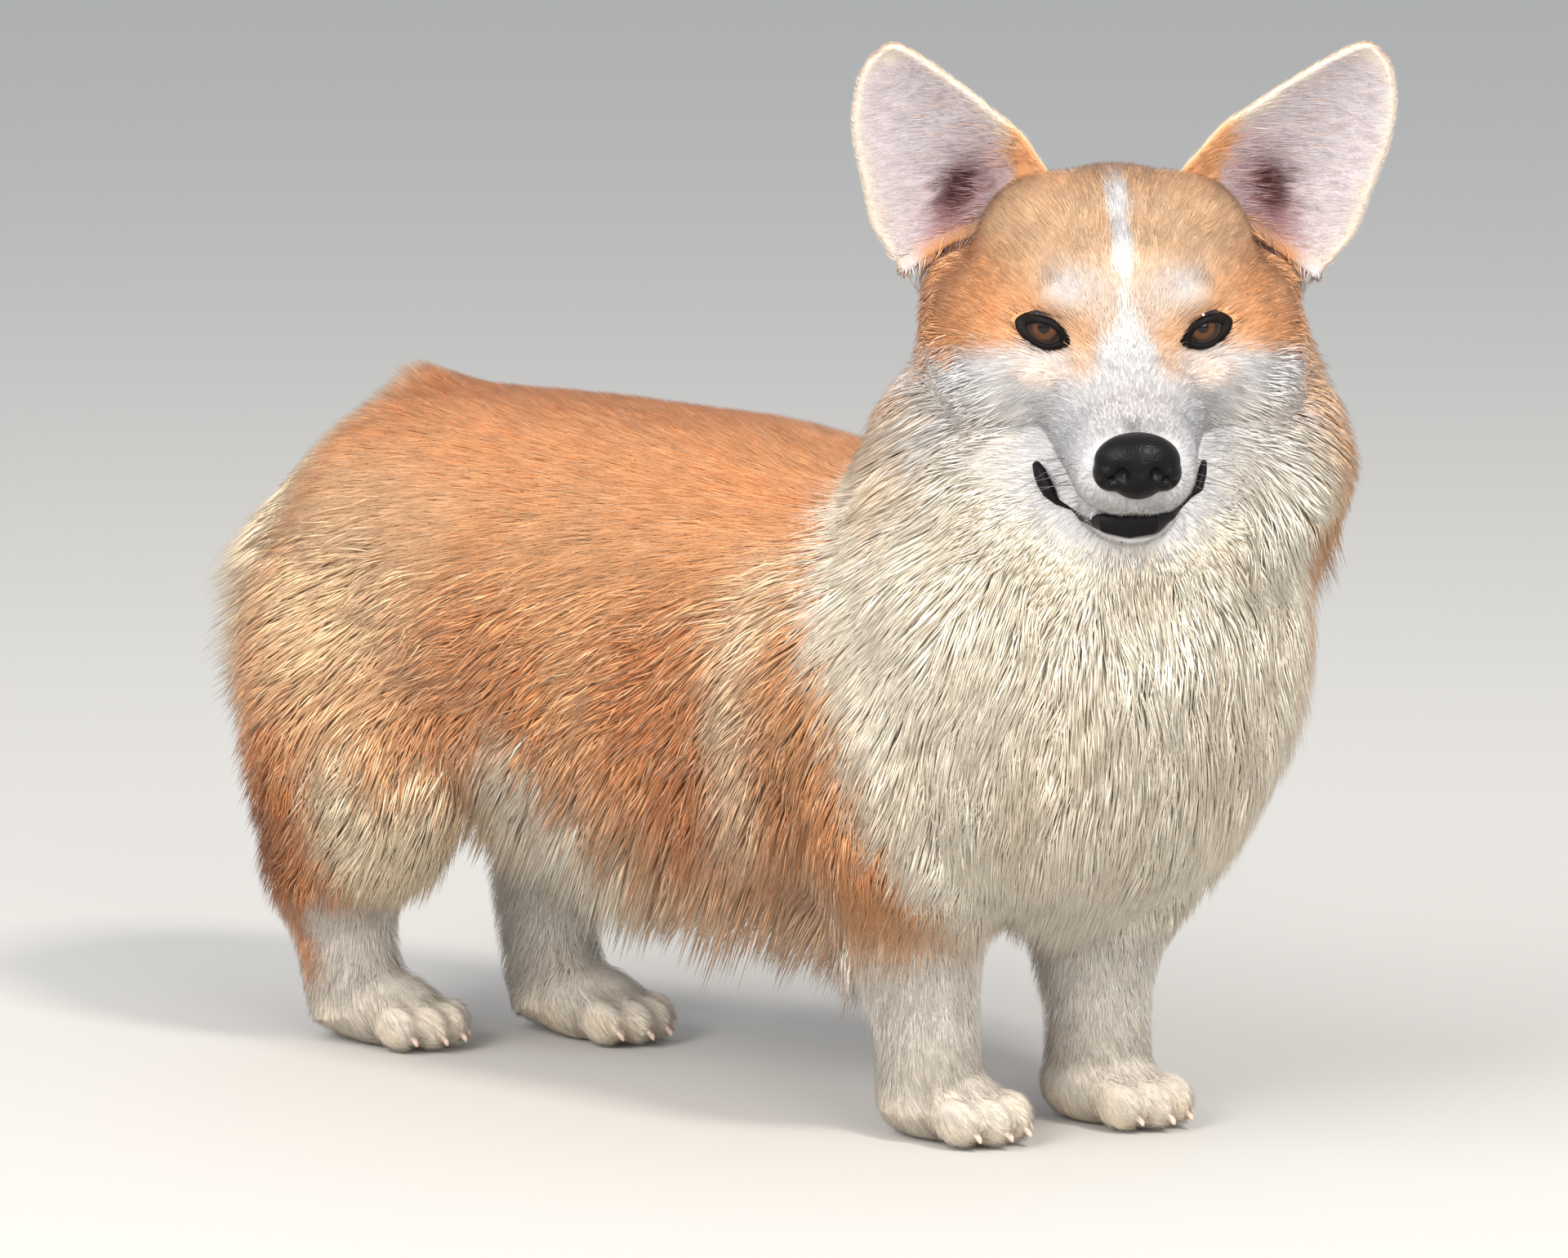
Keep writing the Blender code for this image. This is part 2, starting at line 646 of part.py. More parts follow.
def main():
    clear_scene()
    rng = random.Random(LOCK_SEED)
    model = collection("corgi")

    bm = bmesh.new()
    trunk(bm)
    tube(bm, level_path(APRON), 16)
    mirrored_balls(bm, NECK)
    legs = []
    for name, side in SIDES.items():
        fore = leg_path(FORE_PAW[name], side, FORE_LEG)
        share = leg_path(FORE_PAW[name], side, FORE_SHARE)
        legs.append((f"fore_{name}", FORE_PAW[name], fore, share))
        hind = leg_path(HIND_PAW[name], side, HIND_LEG, HOCK_BACK[name])
        share = leg_path(HIND_PAW[name], side, HIND_SHARE)
        legs.append((f"hind_{name}", HIND_PAW[name], hind, share))
    for _, _, path, _ in legs:
        tube(bm, path, 20)
    torso = modelled(to_object(bm, "torso", model), 0.005, 12, 1550)
    skin = search_tree(torso)

    above = slab("above", model, (-0.3, -0.5, WRIST_TOP), (0.6, 1.0, 0.6))
    boolean(torso, "INTERSECT", above, spend=True)
    neck = part_off(torso, "neck", neck_zone(model), model)
    for name, paw, path, share in legs:
        bm = bmesh.new()
        tube(bm, share, 20)
        part_off(torso, f"leg_{name}", to_object(bm, "share", model), model)
        make_paw(f"paw_{name}", paw, path, model)
    tail = make_tail(model)
    clear_of(torso, [tail], PARTING)
    bare = {name: copied(model.objects[name], "bare", model) for name in LOCKS}
    for name in LOCKS:
        lain_over = search_tree(tail) if name == "tail" else skin
        neighbours = [bare[other] for other in LOCK_NEIGHBOURS.get(name, ["torso"])]
        grow_locks(model.objects[name], lain_over, neighbours, rng)
    for obj in bare.values():
        bpy.data.objects.remove(obj)

    head = make_head(model)
    jaw = make_jaw(model)
    nose = make_nose(model)
    eyes = [make_eye(name, side, model) for name, side in SIDES.items()]
    ears = [make_ear(name, side, model) for name, side in SIDES.items()]
    for obj in (head, jaw, nose, *eyes, *ears):
        obj.data.transform(HEAD_FRAME)
    clear_of(neck, [head, jaw, *ears])
    clear_of(head, [jaw, nose, *eyes, *ears])

    for obj in model.objects:
        obj.data.transform(Matrix.Translation(-BOX_CENTRE))
        paint(obj, FINISH.get(obj.name.split("_")[0], RED_COAT))


if __name__ == "__main__":
    main()
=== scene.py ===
"""The looks of a standing Pembroke Welsh corgi: skin, coat, eyes, nose, mouth and claws.

Everything is built in metres in the dog's own frame, from between its paws, and is put in place
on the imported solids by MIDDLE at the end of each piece.
"""

import math

import bmesh
import bpy
import numpy as np
from mathutils import Matrix, Vector
from mathutils.bvhtree import BVHTree
from mathutils.kdtree import KDTree


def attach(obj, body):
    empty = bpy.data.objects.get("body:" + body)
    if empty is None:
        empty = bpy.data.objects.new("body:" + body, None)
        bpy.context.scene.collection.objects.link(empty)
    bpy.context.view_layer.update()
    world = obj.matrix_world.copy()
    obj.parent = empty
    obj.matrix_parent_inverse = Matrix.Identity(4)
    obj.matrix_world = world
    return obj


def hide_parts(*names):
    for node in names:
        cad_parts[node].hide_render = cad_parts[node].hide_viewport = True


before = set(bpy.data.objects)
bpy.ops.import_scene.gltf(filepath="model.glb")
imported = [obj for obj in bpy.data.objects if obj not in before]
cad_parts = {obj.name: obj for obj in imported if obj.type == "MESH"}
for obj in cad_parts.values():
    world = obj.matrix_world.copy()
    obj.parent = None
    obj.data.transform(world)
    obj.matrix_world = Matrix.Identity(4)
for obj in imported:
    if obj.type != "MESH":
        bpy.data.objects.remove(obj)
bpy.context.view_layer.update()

# ---- Skin
# One closed skin under the whole coat. The body, the head, the ears and the paws are modelled from
# overlapping rings and balls, drawn in by the depth of the coat, and fused.

MIDDLE = Vector((-0.0015, 0.0046, 0.0))
SIDES = {"right": -1.0, "left": 1.0}
UP = Vector((0, 0, 1))


def metres(rows):
    """Rows that are written in millimetres."""
    return [tuple(v / 1000 for v in row) for row in rows]


# Trunk rings, rump to chest: y, middle z, half width, height above and depth below the middle
TRUNK = metres([
    (284, 200, 30, 30, 35), (272, 205, 60, 55, 62), (244, 212, 86, 78, 82), (200, 215, 99, 92, 94),
    (140, 215, 104, 93, 100), (70, 210, 104, 97, 103), (0, 205, 105, 99, 106),
    (-70, 200, 106, 95, 108), (-130, 195, 106, 100, 102), (-190, 190, 102, 95, 88),
    (-235, 188, 85, 80, 70), (-265, 190, 55, 55, 45), (-280, 192, 20, 20, 20),
])
NECK = metres([
    (0, -178, 236, 106, 114, 98), (0, -186, 270, 100, 105, 83), (0, -176, 304, 84, 89, 62),
    (26, -192, 292, 88, 100, 88),
])
APRON = metres([
    (150, 142, 40, 26), (110, 138, 58, 34), (43, 130, 64, 36), (-31, 125, 64, 40),
    (-78, 124, 60, 43), (-115, 124, 44, 42), (-140, 124, 20, 30),
])
BOB = metres([
    (176, 276, 21), (192, 290, 21), (206, 300, 16), (218, 306, 8),
])
FORE_PAW = {"right": Vector((-0.038, -0.146, 0)), "left": Vector((0.038, -0.175, 0))}
HIND_PAW = {"right": Vector((-0.037, 0.192, 0)), "left": Vector((0.036, 0.130, 0))}
# Legs from the paw's middle: out, back, up, radius across, radius fore and aft
FORE_LEG = metres([
    (2, 12, 12, 24, 26), (3, 15, 50, 23, 26), (7, 19, 80, 29, 34), (12, 18, 115, 38, 48),
    (22, 8, 150, 45, 62), (28, -4, 195, 42, 62), (26, -10, 235, 25, 40),
])
HIND_LEG = metres([
    (2, 22, 12, 23.5, 27), (4, 31, 48, 23, 28), (8, 34, 72, 29, 37), (14, 18, 105, 38, 55),
    (22, 1, 140, 48, 72), (26, -3, 180, 49, 76), (24, -2, 220, 42, 66), (20, 0, 250, 26, 40),
])
HOCK_BACK = {"right": 0.0, "left": 0.010}
PAW_PAD = ((0.0, 0.010, 0.016), (0.0235, 0.031, 0.020))
TOES = [(-0.0175, -0.015), (-0.0062, -0.0235), (0.0062, -0.0235), (0.0175, -0.015)]
TOE_RADII = (0.0078, 0.0145, 0.0120)
TOE_HEIGHT = 0.0115
PASTERN_TAPER = 0.86
HEEL_HEIGHT = 0.0145
SOLE_HEIGHT = 0.0006

# The head's own frame: origin in the middle of the skull, -Y to the nose, +X to the dog's left
HEAD_AT = Vector((-0.0171, -0.2153, 0.382))
HEAD_YAW, HEAD_PITCH = math.radians(-46.5), math.radians(9.5)
HEAD_TURN = Matrix.Rotation(HEAD_YAW, 4, "Z") @ Matrix.Rotation(HEAD_PITCH, 4, "X")
HEAD_FRAME = Matrix.Translation(HEAD_AT) @ HEAD_TURN
HEAD_BALLS = metres([
    (0, 12, -12, 60, 64, 55), (0, -28, -8, 47, 34, 35), (45, 26, -23, 40, 34, 31),
    (26, 12, 4, 36, 44, 37), (20, -10, -2, 36, 40, 32), (38, 0, -38, 49, 54, 50),
    (0, -4, -58, 60, 56, 42), (23, -44, -1, 16, 13, 11), (34, -43, -34, 18, 15, 14),
])
MUZZLE = metres([
    (-20, -44, 44, 38), (-55, -50, 36, 31), (-80, -55.5, 30, 26.5), (-102, -58, 27.5, 23.5),
    (-115, -58.5, 24, 20), (-122, -58.5, 16, 13),
])
JAW = metres([
    (-10, -78, 34, 17), (-45, -81, 30, 16), (-75, -82.5, 24, 14.5), (-98, -83, 19, 12),
    (-110, -82.5, 12, 8),
])
EAR_ROOT = Vector((0.0590, 0.020, 0.006))
EAR_TIP = {"right": Vector((0.0970, 0.016, 0.0935)), "left": Vector((0.1080, 0.016, 0.0935))}
EAR_HALF_WIDTH = 0.0444
EAR_OUTER_SHARE = 0.93
EAR_CROWN_TAPER = 0.95
EAR_CUP = 0.016
EAR_THICKNESS = 0.0030
EYE_CENTRE = Vector((0.0308, -0.0405, -0.0145))
EYE_RADIUS = 0.0118
EYE_GAZE = {"right": Vector((-0.30, -0.93, 0.20)), "left": Vector((0.14, -0.97, 0.20))}

# The lie of the coat as combed points: place, way the hair lies, its length, the coat's depth, and
# how free of the body it hangs. Places and lengths are in millimetres.
BODY_COMB = [
    (0, 230, 295, 0, 1, -0.3, 20, 7, 0.2), (0, 120, 306, 0, 1, -0.05, 17, 6, 0),
    (0, 20, 303, 0, 1, 0, 17, 6, 0), (0, -70, 298, 0, 1, 0, 20, 7, 0),
    (0, -110, 330, 0, 0.7, -0.6, 34, 14, 0.1), (70, 200, 275, 0.15, 0.9, -0.35, 22, 8, 0),
    (70, 100, 280, 0.1, 0.95, -0.3, 19, 7, 0), (70, 0, 280, 0.1, 0.95, -0.3, 19, 7, 0),
    (70, -60, 280, 0.1, 0.9, -0.4, 22, 8, 0), (105, 200, 200, 0.1, 0.85, -0.5, 32, 12, 0.25),
    (105, 100, 200, 0, 0.9, -0.45, 27, 9, 0.08), (105, 0, 200, 0, 0.9, -0.45, 27, 9, 0.08),
    (105, -80, 200, 0, 0.65, -0.75, 28, 10, 0), (90, 100, 140, 0, 0.6, -0.8, 42, 12, 0.4),
    (85, 0, 130, 0, 0.5, -0.85, 50, 13, 0.5), (85, -70, 130, 0, 0.4, -0.9, 46, 13, 0.5),
    (40, 110, 110, 0, 0.45, -0.9, 50, 15, 0.85), (50, 50, 95, 0, 0.35, -0.95, 70, 16, 0.95),
    (50, -20, 85, 0, 0.3, -0.95, 74, 16, 0.95), (40, -80, 85, 0, 0.25, -0.97, 70, 16, 0.95),
    (0, 0, 85, 0, 0.6, -0.8, 50, 12, 0.8), (0, 285, 220, 0, 0.85, -0.5, 42, 15, 0.65),
    (45, 278, 185, 0.3, 0.85, -0.35, 48, 16, 0.8), (50, 265, 240, 0.3, 0.85, -0.4, 44, 15, 0.7),
    (0, 270, 150, 0.15, 0.75, -0.65, 46, 17, 0.7), (0, 205, 308, 0, 1, 0.5, 20, 4, 0.7),
    (100, -170, 275, 0, 0.55, -0.85, 44, 19, 0.15), (85, -150, 315, 0.2, 0.7, -0.6, 38, 16, 0.1),
    (95, -220, 240, 0, 0.2, -1, 46, 20, 0.15), (60, -275, 240, 0.1, 0, -1, 46, 20, 0.2),
    (0, -290, 230, 0, -0.05, -1, 48, 20, 0.2), (0, -270, 160, 0, 0.15, -1, 44, 18, 0.4),
    (60, -250, 150, 0, 0.2, -1, 42, 17, 0.3), (95, -170, 180, 0, 0.3, -1, 40, 14, 0.15),
    (0, -200, 100, 0, 0.25, -1, 38, 14, 0.7), (0, -265, 290, 0, -0.1, -1, 36, 14, 0.1),
]
# The same on the legs, placed from the paw's middle: out, back, up
FORE_COMB = [
    (0, -30, 14, 0, -1, -0.5, 8, 2.4, 0.1), (20, -10, 16, 0.3, -0.8, -0.6, 9, 2.4, 0.1),
    (-20, -10, 16, -0.3, -0.8, -0.6, 9, 2.4, 0.1), (0, 35, 14, 0, 0.2, -1, 8, 2, 0),
    (0, -8, 35, 0, -0.5, -0.9, 7, 2, 0), (28, 15, 60, 0.1, 0.1, -1, 12, 3.5, 0),
    (-20, 15, 60, -0.1, 0.1, -1, 12, 3.5, 0), (0, -12, 65, 0, -0.05, -1, 11, 3.5, 0),
    (0, 48, 65, 0, 0.6, -0.8, 18, 5, 0.4), (45, 20, 110, 0.1, 0.25, -1, 24, 7, 0.1),
    (20, 70, 120, 0, 0.6, -0.8, 32, 11, 0.5), (65, 0, 165, 0, 0.35, -1, 30, 10, 0.05),
]
HIND_COMB = [
    (0, -30, 14, 0, -1, -0.5, 8, 2.4, 0.1), (20, -10, 16, 0.3, -0.8, -0.6, 9, 2.4, 0.1),
    (-20, -10, 16, -0.3, -0.8, -0.6, 9, 2.4, 0.1), (0, 45, 14, 0, 0.2, -1, 8, 2, 0),
    (26, 30, 50, 0.1, 0.2, -1, 11, 3.5, 0), (-20, 30, 50, -0.1, 0.2, -1, 11, 3.5, 0),
    (0, 0, 55, 0, -0.1, -1, 11, 3.5, 0), (0, 62, 50, 0, 0.3, -1, 16, 5, 0.2),
    (48, 30, 100, 0, 0.5, -0.85, 30, 10, 0.3), (15, 88, 110, 0, 0.7, -0.75, 38, 15, 0.6),
    (65, 0, 150, 0, 0.5, -0.85, 32, 12, 0.1), (55, 65, 170, 0.1, 0.85, -0.5, 40, 16, 0.3),
    (40, -55, 120, 0.1, 0.35, -0.95, 36, 12, 0.5),
]
# The same in the head's frame
HEAD_COMB = [
    (0, -105, -36, 0, 1, 0.3, 4, 0.8, 0), (20, -100, -48, 0.2, 1, 0.1, 4.5, 1, 0),
    (22, -105, -70, 0.25, 0.8, -0.5, 5, 1, 0), (30, -80, -60, 0.2, 1, -0.2, 6, 1.4, 0),
    (0, -80, -30, 0, 1, 0.35, 5, 1, 0), (0, -63, -14, 0, 0.4, 1, 6, 1.4, 0),
    (16, -66, -24, 0.5, 0.7, 0.5, 6, 1.2, 0), (12, -58, 0, 0.3, 0.3, 1, 7, 1.8, 0),
    (30, -48, 6, 0.4, 0.5, 0.9, 8, 1.8, 0), (48, -40, -6, 0.9, 0.6, 0.4, 7, 1.6, 0),
    (0, -35, 25, 0, 0.75, 0.6, 9, 2.2, 0), (0, 10, 42, 0, 1, 0, 11, 3, 0),
    (35, 0, 34, 0.5, 0.8, 0.4, 11, 3, 0), (45, -25, 12, 0.7, 0.7, 0.5, 10, 2.6, 0),
    (68, -15, -2, 0.6, 0.9, 0, 13, 3.5, 0), (40, -56, -32, 0.7, 0.7, -0.3, 8, 1.8, 0),
    (26, -62, -40, 0.5, 0.8, -0.2, 7, 1.4, 0), (55, -48, -50, 0.7, 0.6, -0.5, 20, 4, 0.08),
    (75, -30, -35, 0.5, 0.8, -0.4, 17, 5, 0), (82, 10, -30, 0.5, 0.75, -0.55, 28, 8, 0.25),
    (88, 20, -6, 0.55, 0.1, -0.85, 13, 2.5, 0.05), (68, -20, -75, 0.6, 0.45, -0.8, 34, 10, 0.3),
    (85, 0, -58, 0.7, 0.4, -0.65, 38, 11, 0.4), (35, -70, -70, 0.4, 0.8, -0.5, 10, 2, 0),
    (0, -112, -90, 0, 0.5, -0.8, 6, 1.2, 0.2), (20, -85, -92, 0.2, 0.7, -0.7, 9, 2, 0.2),
    (0, -60, -98, 0, 0.7, -0.7, 16, 5, 0.2), (0, 72, 0, 0, 0.6, -0.8, 26, 9, 0.1),
    (60, 55, -10, 0.4, 0.8, -0.6, 24, 8, 0.1),
]


def both_sides(points):
    """The points, with those off the middle line doubled across it."""
    return points + [(-x, y, z, -dx, *rest) for x, y, z, dx, *rest in points if abs(x) > 1]


def comb_rows(points, frame_matrix=Matrix()):
    """The points as rows of numbers in metres, in the dog's frame."""
    rows = []
    for x, y, z, dx, dy, dz, length, depth, free in points:
        place = frame_matrix @ Vector((x / 1000, y / 1000, z / 1000))
        way = frame_matrix.to_3x3() @ Vector((dx, dy, dz)).normalized()
        rows.append((*place, *way, length / 1000, depth / 1000, free))
    return rows


# The collar stands out fuller on the left, where the turned head opens it
LEFT_COMB = [
    (95, -235, 290, 0.55, -0.25, -0.75, 50, 17, 0.45),
    (100, -190, 335, 0.6, -0.1, -0.65, 46, 14, 0.45),
]
LEFT_CHEEK_COMB = [
    (86, 8, -30, 0.9, 0.25, -0.4, 28, 9, 0.55),
]
comb = comb_rows(both_sides(BODY_COMB)) + comb_rows(LEFT_COMB)
comb += comb_rows(both_sides(HEAD_COMB) + LEFT_CHEEK_COMB, HEAD_FRAME)
for side_name, side in SIDES.items():
    for paws, leg_comb in ((FORE_PAW, FORE_COMB), (HIND_PAW, HIND_COMB)):
        sided = [(side * x, y, z, side * dx, *rest) for x, y, z, dx, *rest in leg_comb]
        comb += comb_rows(sided, Matrix.Translation(paws[side_name]))
comb = np.array(comb)
COMB_BLUR = 0.007
COMBED_AT_ONCE = 20000


def combed(points):
    """Way, length, depth and freedom of the coat at each point, blended from the nearest combs."""
    found = []
    for part in np.array_split(points, max(1, len(points) // COMBED_AT_ONCE)):
        gap = ((part[:, None, :] - comb[None, :, :3]) ** 2).sum(2)
        weight = 1 / (gap + COMB_BLUR**2) ** 2
        weight /= weight.sum(1, keepdims=True)
        found.append(weight @ comb[:, 3:])
    return np.concatenate(found)


def ball(bm, centre, radii, segments=32):
    place = Matrix.Translation(centre) @ Matrix.Diagonal((*radii, 1.0))
    rings = segments // 2 + 2
    bmesh.ops.create_uvsphere(bm, u_segments=segments, v_segments=rings, radius=1.0, matrix=place)


def circle(bm, sides, place=Matrix.Identity(4)):
    """A ring of vertices, in order round it."""
    ring = bmesh.ops.create_circle(bm, segments=sides, radius=1.0, matrix=place)["verts"][:1]
    while len(ring) < sides:
        around = [e.other_vert(ring[-1]) for e in ring[-1].link_edges]
        ring.append(next(v for v in around if v not in ring))
    return ring


def ring_edges(bm, ring):
    return [bm.edges.get((a, b)) for a, b in zip(ring, ring[1:] + ring[:1])]


def skin_rings(bm, rings):
    """Walls between neighbouring rings, and end caps; a last ring of no size becomes a point."""
    for a, b in zip(rings, rings[1:]):
        bmesh.ops.bridge_loops(bm, edges=ring_edges(bm, a) + ring_edges(bm, b))
    bmesh.ops.contextual_create(bm, geom=rings[0])
    bmesh.ops.contextual_create(bm, geom=rings[-1])
    bmesh.ops.remove_doubles(bm, verts=rings[-1], dist=1e-7)


def tube(bm, stations, sides=24, level=Vector((1, 0, 0))):
    """A closed tube through stations of (centre, radius along level, other radius)."""
    rings = []
    for i, (centre, across, other) in enumerate(stations):
        before = Vector(stations[max(i - 1, 0)][0])
        after = Vector(stations[min(i + 1, len(stations) - 1)][0])
        way = (after - before).normalized()
        front = way.cross(level).normalized()
        side = front.cross(way).normalized()
        turn = Matrix((side, front, way)).transposed().to_4x4()
        place = Matrix.Translation(centre) @ turn @ Matrix.Diagonal((across, other, 1, 1))
        rings.append(circle(bm, sides, place))
    skin_rings(bm, rings)


def ramp(values, start, length):
    """0 at the start, rising evenly to 1 over the length."""
    return np.clip((values - start) / length, 0, 1)


def mirrored(point, side):
    return Vector((side * point[0], point[1], point[2]))


def sides_of(point):
    return (-1, 1) if point[0] else (1,)


def in_scene(name, data):
    obj = bpy.data.objects.new(name, data)
    bpy.context.scene.collection.objects.link(obj)
    return obj


def to_object(bm, name):
    bmesh.ops.recalc_face_normals(bm, faces=bm.faces)
    mesh = bpy.data.meshes.new(name)
    bm.to_mesh(mesh)
    bm.free()
    return in_scene(name, mesh)


def modified(obj, *steps):
    """The object after modifiers, each given as its kind and its settings."""
    for kind, settings in steps:
        modifier = obj.modifiers.new(kind, kind)
        for key, value in settings.items():
            setattr(modifier, key, value)
    graph = bpy.context.evaluated_depsgraph_get()
    mesh = bpy.data.meshes.new_from_object(obj.evaluated_get(graph))
    obj.modifiers.clear()
    obj.data = mesh
    return obj


def modelled(obj, voxel, smoothing):
    """Overlapping forms become one closed, smooth surface."""
    remesh = ("REMESH", {"mode": "VOXEL", "voxel_size": voxel})
    return modified(obj, remesh, ("SMOOTH", {"factor": 0.5, "iterations": smoothing}))


def at_points(mesh, what):
    found = np.empty(len(mesh.vertices) * 3, np.float32)
    mesh.vertices.foreach_get(what, found)
    return found.reshape(-1, 3).astype(float)


def places(mesh):
    return at_points(mesh, "co")


def normals(mesh):
    return at_points(mesh, "normal")


def moved(mesh, points):
    mesh.vertices.foreach_set("co", np.asarray(points, np.float32).ravel())
    mesh.update()


SOFT_LEAST = 0.02


def softened(obj, weights, rounds):
    """Smooths the surface further where the weights are."""
    group = obj.vertex_groups.new(name="soft")
    for i in np.flatnonzero(weights > SOFT_LEAST):
        group.add([int(i)], float(weights[i]), "REPLACE")
    return modified(obj, ("SMOOTH", {"vertex_group": "soft", "iterations": rounds}))


def drawn_in(obj, share=1.0):
    """The outer surface of the coat becomes the skin, by the coat's depth at each place."""
    points = places(obj.data)
    depth = combed(points)[:, 4:5] * share
    moved(obj.data, points - normals(obj.data) * depth)
    return modified(obj, ("SMOOTH", {"iterations": 3}))


def joined(obj, others):
    """The others are fused into the object, and are spent."""
    for other in others:
        modified(obj, ("BOOLEAN", {"operation": "UNION", "solver": "MANIFOLD", "object": other}))
        bpy.data.objects.remove(other)
    return obj


def leg_path(paw, side, stations, hock_back=0.0):
    path = []
    for out, back, up, across, along in stations:
        back += hock_back * max(0.0, 1 - abs(up - 0.05) / 0.08)
        path.append((paw + Vector((side * out, back, up)), across, along))
    return path


LEGS = []
for side_name, side in SIDES.items():
    fore, hind = FORE_PAW[side_name], HIND_PAW[side_name]
    LEGS.append((fore, leg_path(fore, side, FORE_LEG)))
    LEGS.append((hind, leg_path(hind, side, HIND_LEG, HOCK_BACK[side_name])))


def body_form():
    bm = bmesh.new()
    rings = []
    for y, middle, half, up, down in TRUNK:
        place = Matrix.Translation((0, y, middle)) @ Matrix.Rotation(math.pi / 2, 4, "X")
        ring = circle(bm, 40, place)
        for v in ring:
            high = v.co.z - middle
            v.co.x *= half
            v.co.z = middle + high * (up if high > 0 else down)
        rings.append(ring)
    skin_rings(bm, rings)
    tube(bm, [(Vector((0, y, z)), across, up) for y, z, across, up in APRON])
    tube(bm, [(Vector((0, y, z)), r, r) for y, z, r in BOB])
    for row in NECK:
        ball(bm, row[:3], row[3:])
    for _, path in LEGS:
        tube(bm, path)
    return drawn_in(modelled(to_object(bm, "skin"), voxel=0.0031, smoothing=30))


def paw_form(middle, path):
    """Pad, toes and pastern, finer than the body, with the sole flat on the floor."""
    bm = bmesh.new()
    ball(bm, middle + Vector(PAW_PAD[0]), PAW_PAD[1])
    for across, ahead in TOES:
        ball(bm, middle + Vector((across, ahead, TOE_HEIGHT)), TOE_RADII)
    (foot, foot_across, foot_along), (top, top_across, top_along) = path[:2]
    tube(bm, [path[0], (top, top_across * PASTERN_TAPER, top_along * PASTERN_TAPER)])
    ball(bm, foot + UP * 0.003, (foot_across, foot_along, HEEL_HEIGHT))
    paw = drawn_in(modelled(to_object(bm, "paw"), voxel=0.0013, smoothing=16), share=0.8)
    points = places(paw.data)
    sole = SOLE_HEIGHT + 0.15 * np.minimum(points[:, 2], 0)
    points[:, 2] = np.maximum(points[:, 2], sole)
    moved(paw.data, points)
    return paw


def stroked(obj, strokes):
    """Moves the surface out near each stroke, and near its mirror image if it is off the middle."""
    points, out = places(obj.data), normals(obj.data)
    for *place, reach, amount in strokes:
        for side in sides_of(place):
            gap = ((points - np.array(mirrored(place, side))) ** 2).sum(1)
            points += out * (amount * np.exp(-gap / reach**2))[:, None]
    moved(obj.data, points)


# Strokes that shape the face, in the head's frame: place, reach, and how far the skin moves out
FACE_STROKES = metres([
    (33, -56, -13.5, 10, -3), (21.5, -63, -16.5, 7, -2.2), (30, -52, 2, 11, 2), (0, -60, 0, 10, -2),
    (24, -78, -42, 13, -1.8), (18, -112, -64, 11, 1.6), (0, -118, -69, 5, -1.2),
    (0, -100, -34.5, 12, 1), (0, -25, 33, 9, -1.2),
])


def head_form():
    bm = bmesh.new()
    for row in HEAD_BALLS:
        for side in sides_of(row):
            ball(bm, mirrored(row, side), row[3:])
    for path in (MUZZLE, JAW):
        tube(bm, [(Vector((0, y, z)), across, up) for y, z, across, up in path])
    head = modelled(to_object(bm, "head"), voxel=0.0017, smoothing=26)
    _, y, z = places(head.data).T
    crown = ramp(z, -0.002, 0.012) * ramp(y, -0.050, 0.015)
    cheek = ramp(-z, 0.020, 0.012) * ramp(y, -0.058, 0.015)
    softened(head, np.maximum(crown, cheek), rounds=70)
    stroked(head, FACE_STROKES)
    # The line of the mouth is pressed in between the upper lip and the jaw
    points, out = places(head.data), normals(head.data)
    depth = MOUTH_DEPTH * along_line(points, MOUTH, 0.0024)
    moved(head.data, points - out * depth[:, None])
    head.data.transform(HEAD_FRAME)
    return drawn_in(head)


MOUTH_DEPTH = 0.0035
MOUTH = metres([
    (0, -114, -77.5), (12, -108.5, -78.5), (21.5, -97, -78.5), (27.5, -82, -78.5), (34, -68, -72),
])


def along_line(points, line, width):
    """How close each point is to a line through the given places on both sides, from 0 to 1."""
    closest = np.full(len(points), 1e9)
    for side in (-1, 1):
        path = [np.array(mirrored(p, side)) for p in line]
        for a, b in zip(path, path[1:]):
            run = b - a
            share = np.clip(((points - a) @ run) / (run @ run), 0, 1)
            gap = ((points - a - share[:, None] * run) ** 2).sum(1)
            closest = np.minimum(closest, gap)
    return np.exp(-closest / width**2)


def blade_width(t, outer):
    """Half the width of an ear's blade from its root to its tip, on its outer or its crown side."""
    rounding = np.sqrt(np.clip(1 - np.maximum(0.0, (t - 0.60) / 0.40) ** 2.2, 0, 1))
    root = np.where(outer, 1 - 0.22 * np.maximum(0.0, 1 - t / 0.25), 1.0)
    edge = np.where(outer, EAR_OUTER_SHARE, 1 - EAR_CROWN_TAPER * np.maximum(0.0, t - 0.40))
    return EAR_HALF_WIDTH * (1 - 0.45 * t) * rounding * root * edge


def ear_point(u, t, name):
    """A place on the cupped blade of an ear: u across it, t from its root to its tip."""
    along = EAR_TIP[name] - EAR_ROOT
    across = Vector((along.z, 0, -along.x)).normalized()
    cup = EAR_CUP * (1 - t) ** 0.6 * (1 - u * u)
    place = EAR_ROOT + along * t + across * (u * float(blade_width(t, u > 0))) + Vector((0, cup, 0))
    return mirrored(place, SIDES[name])


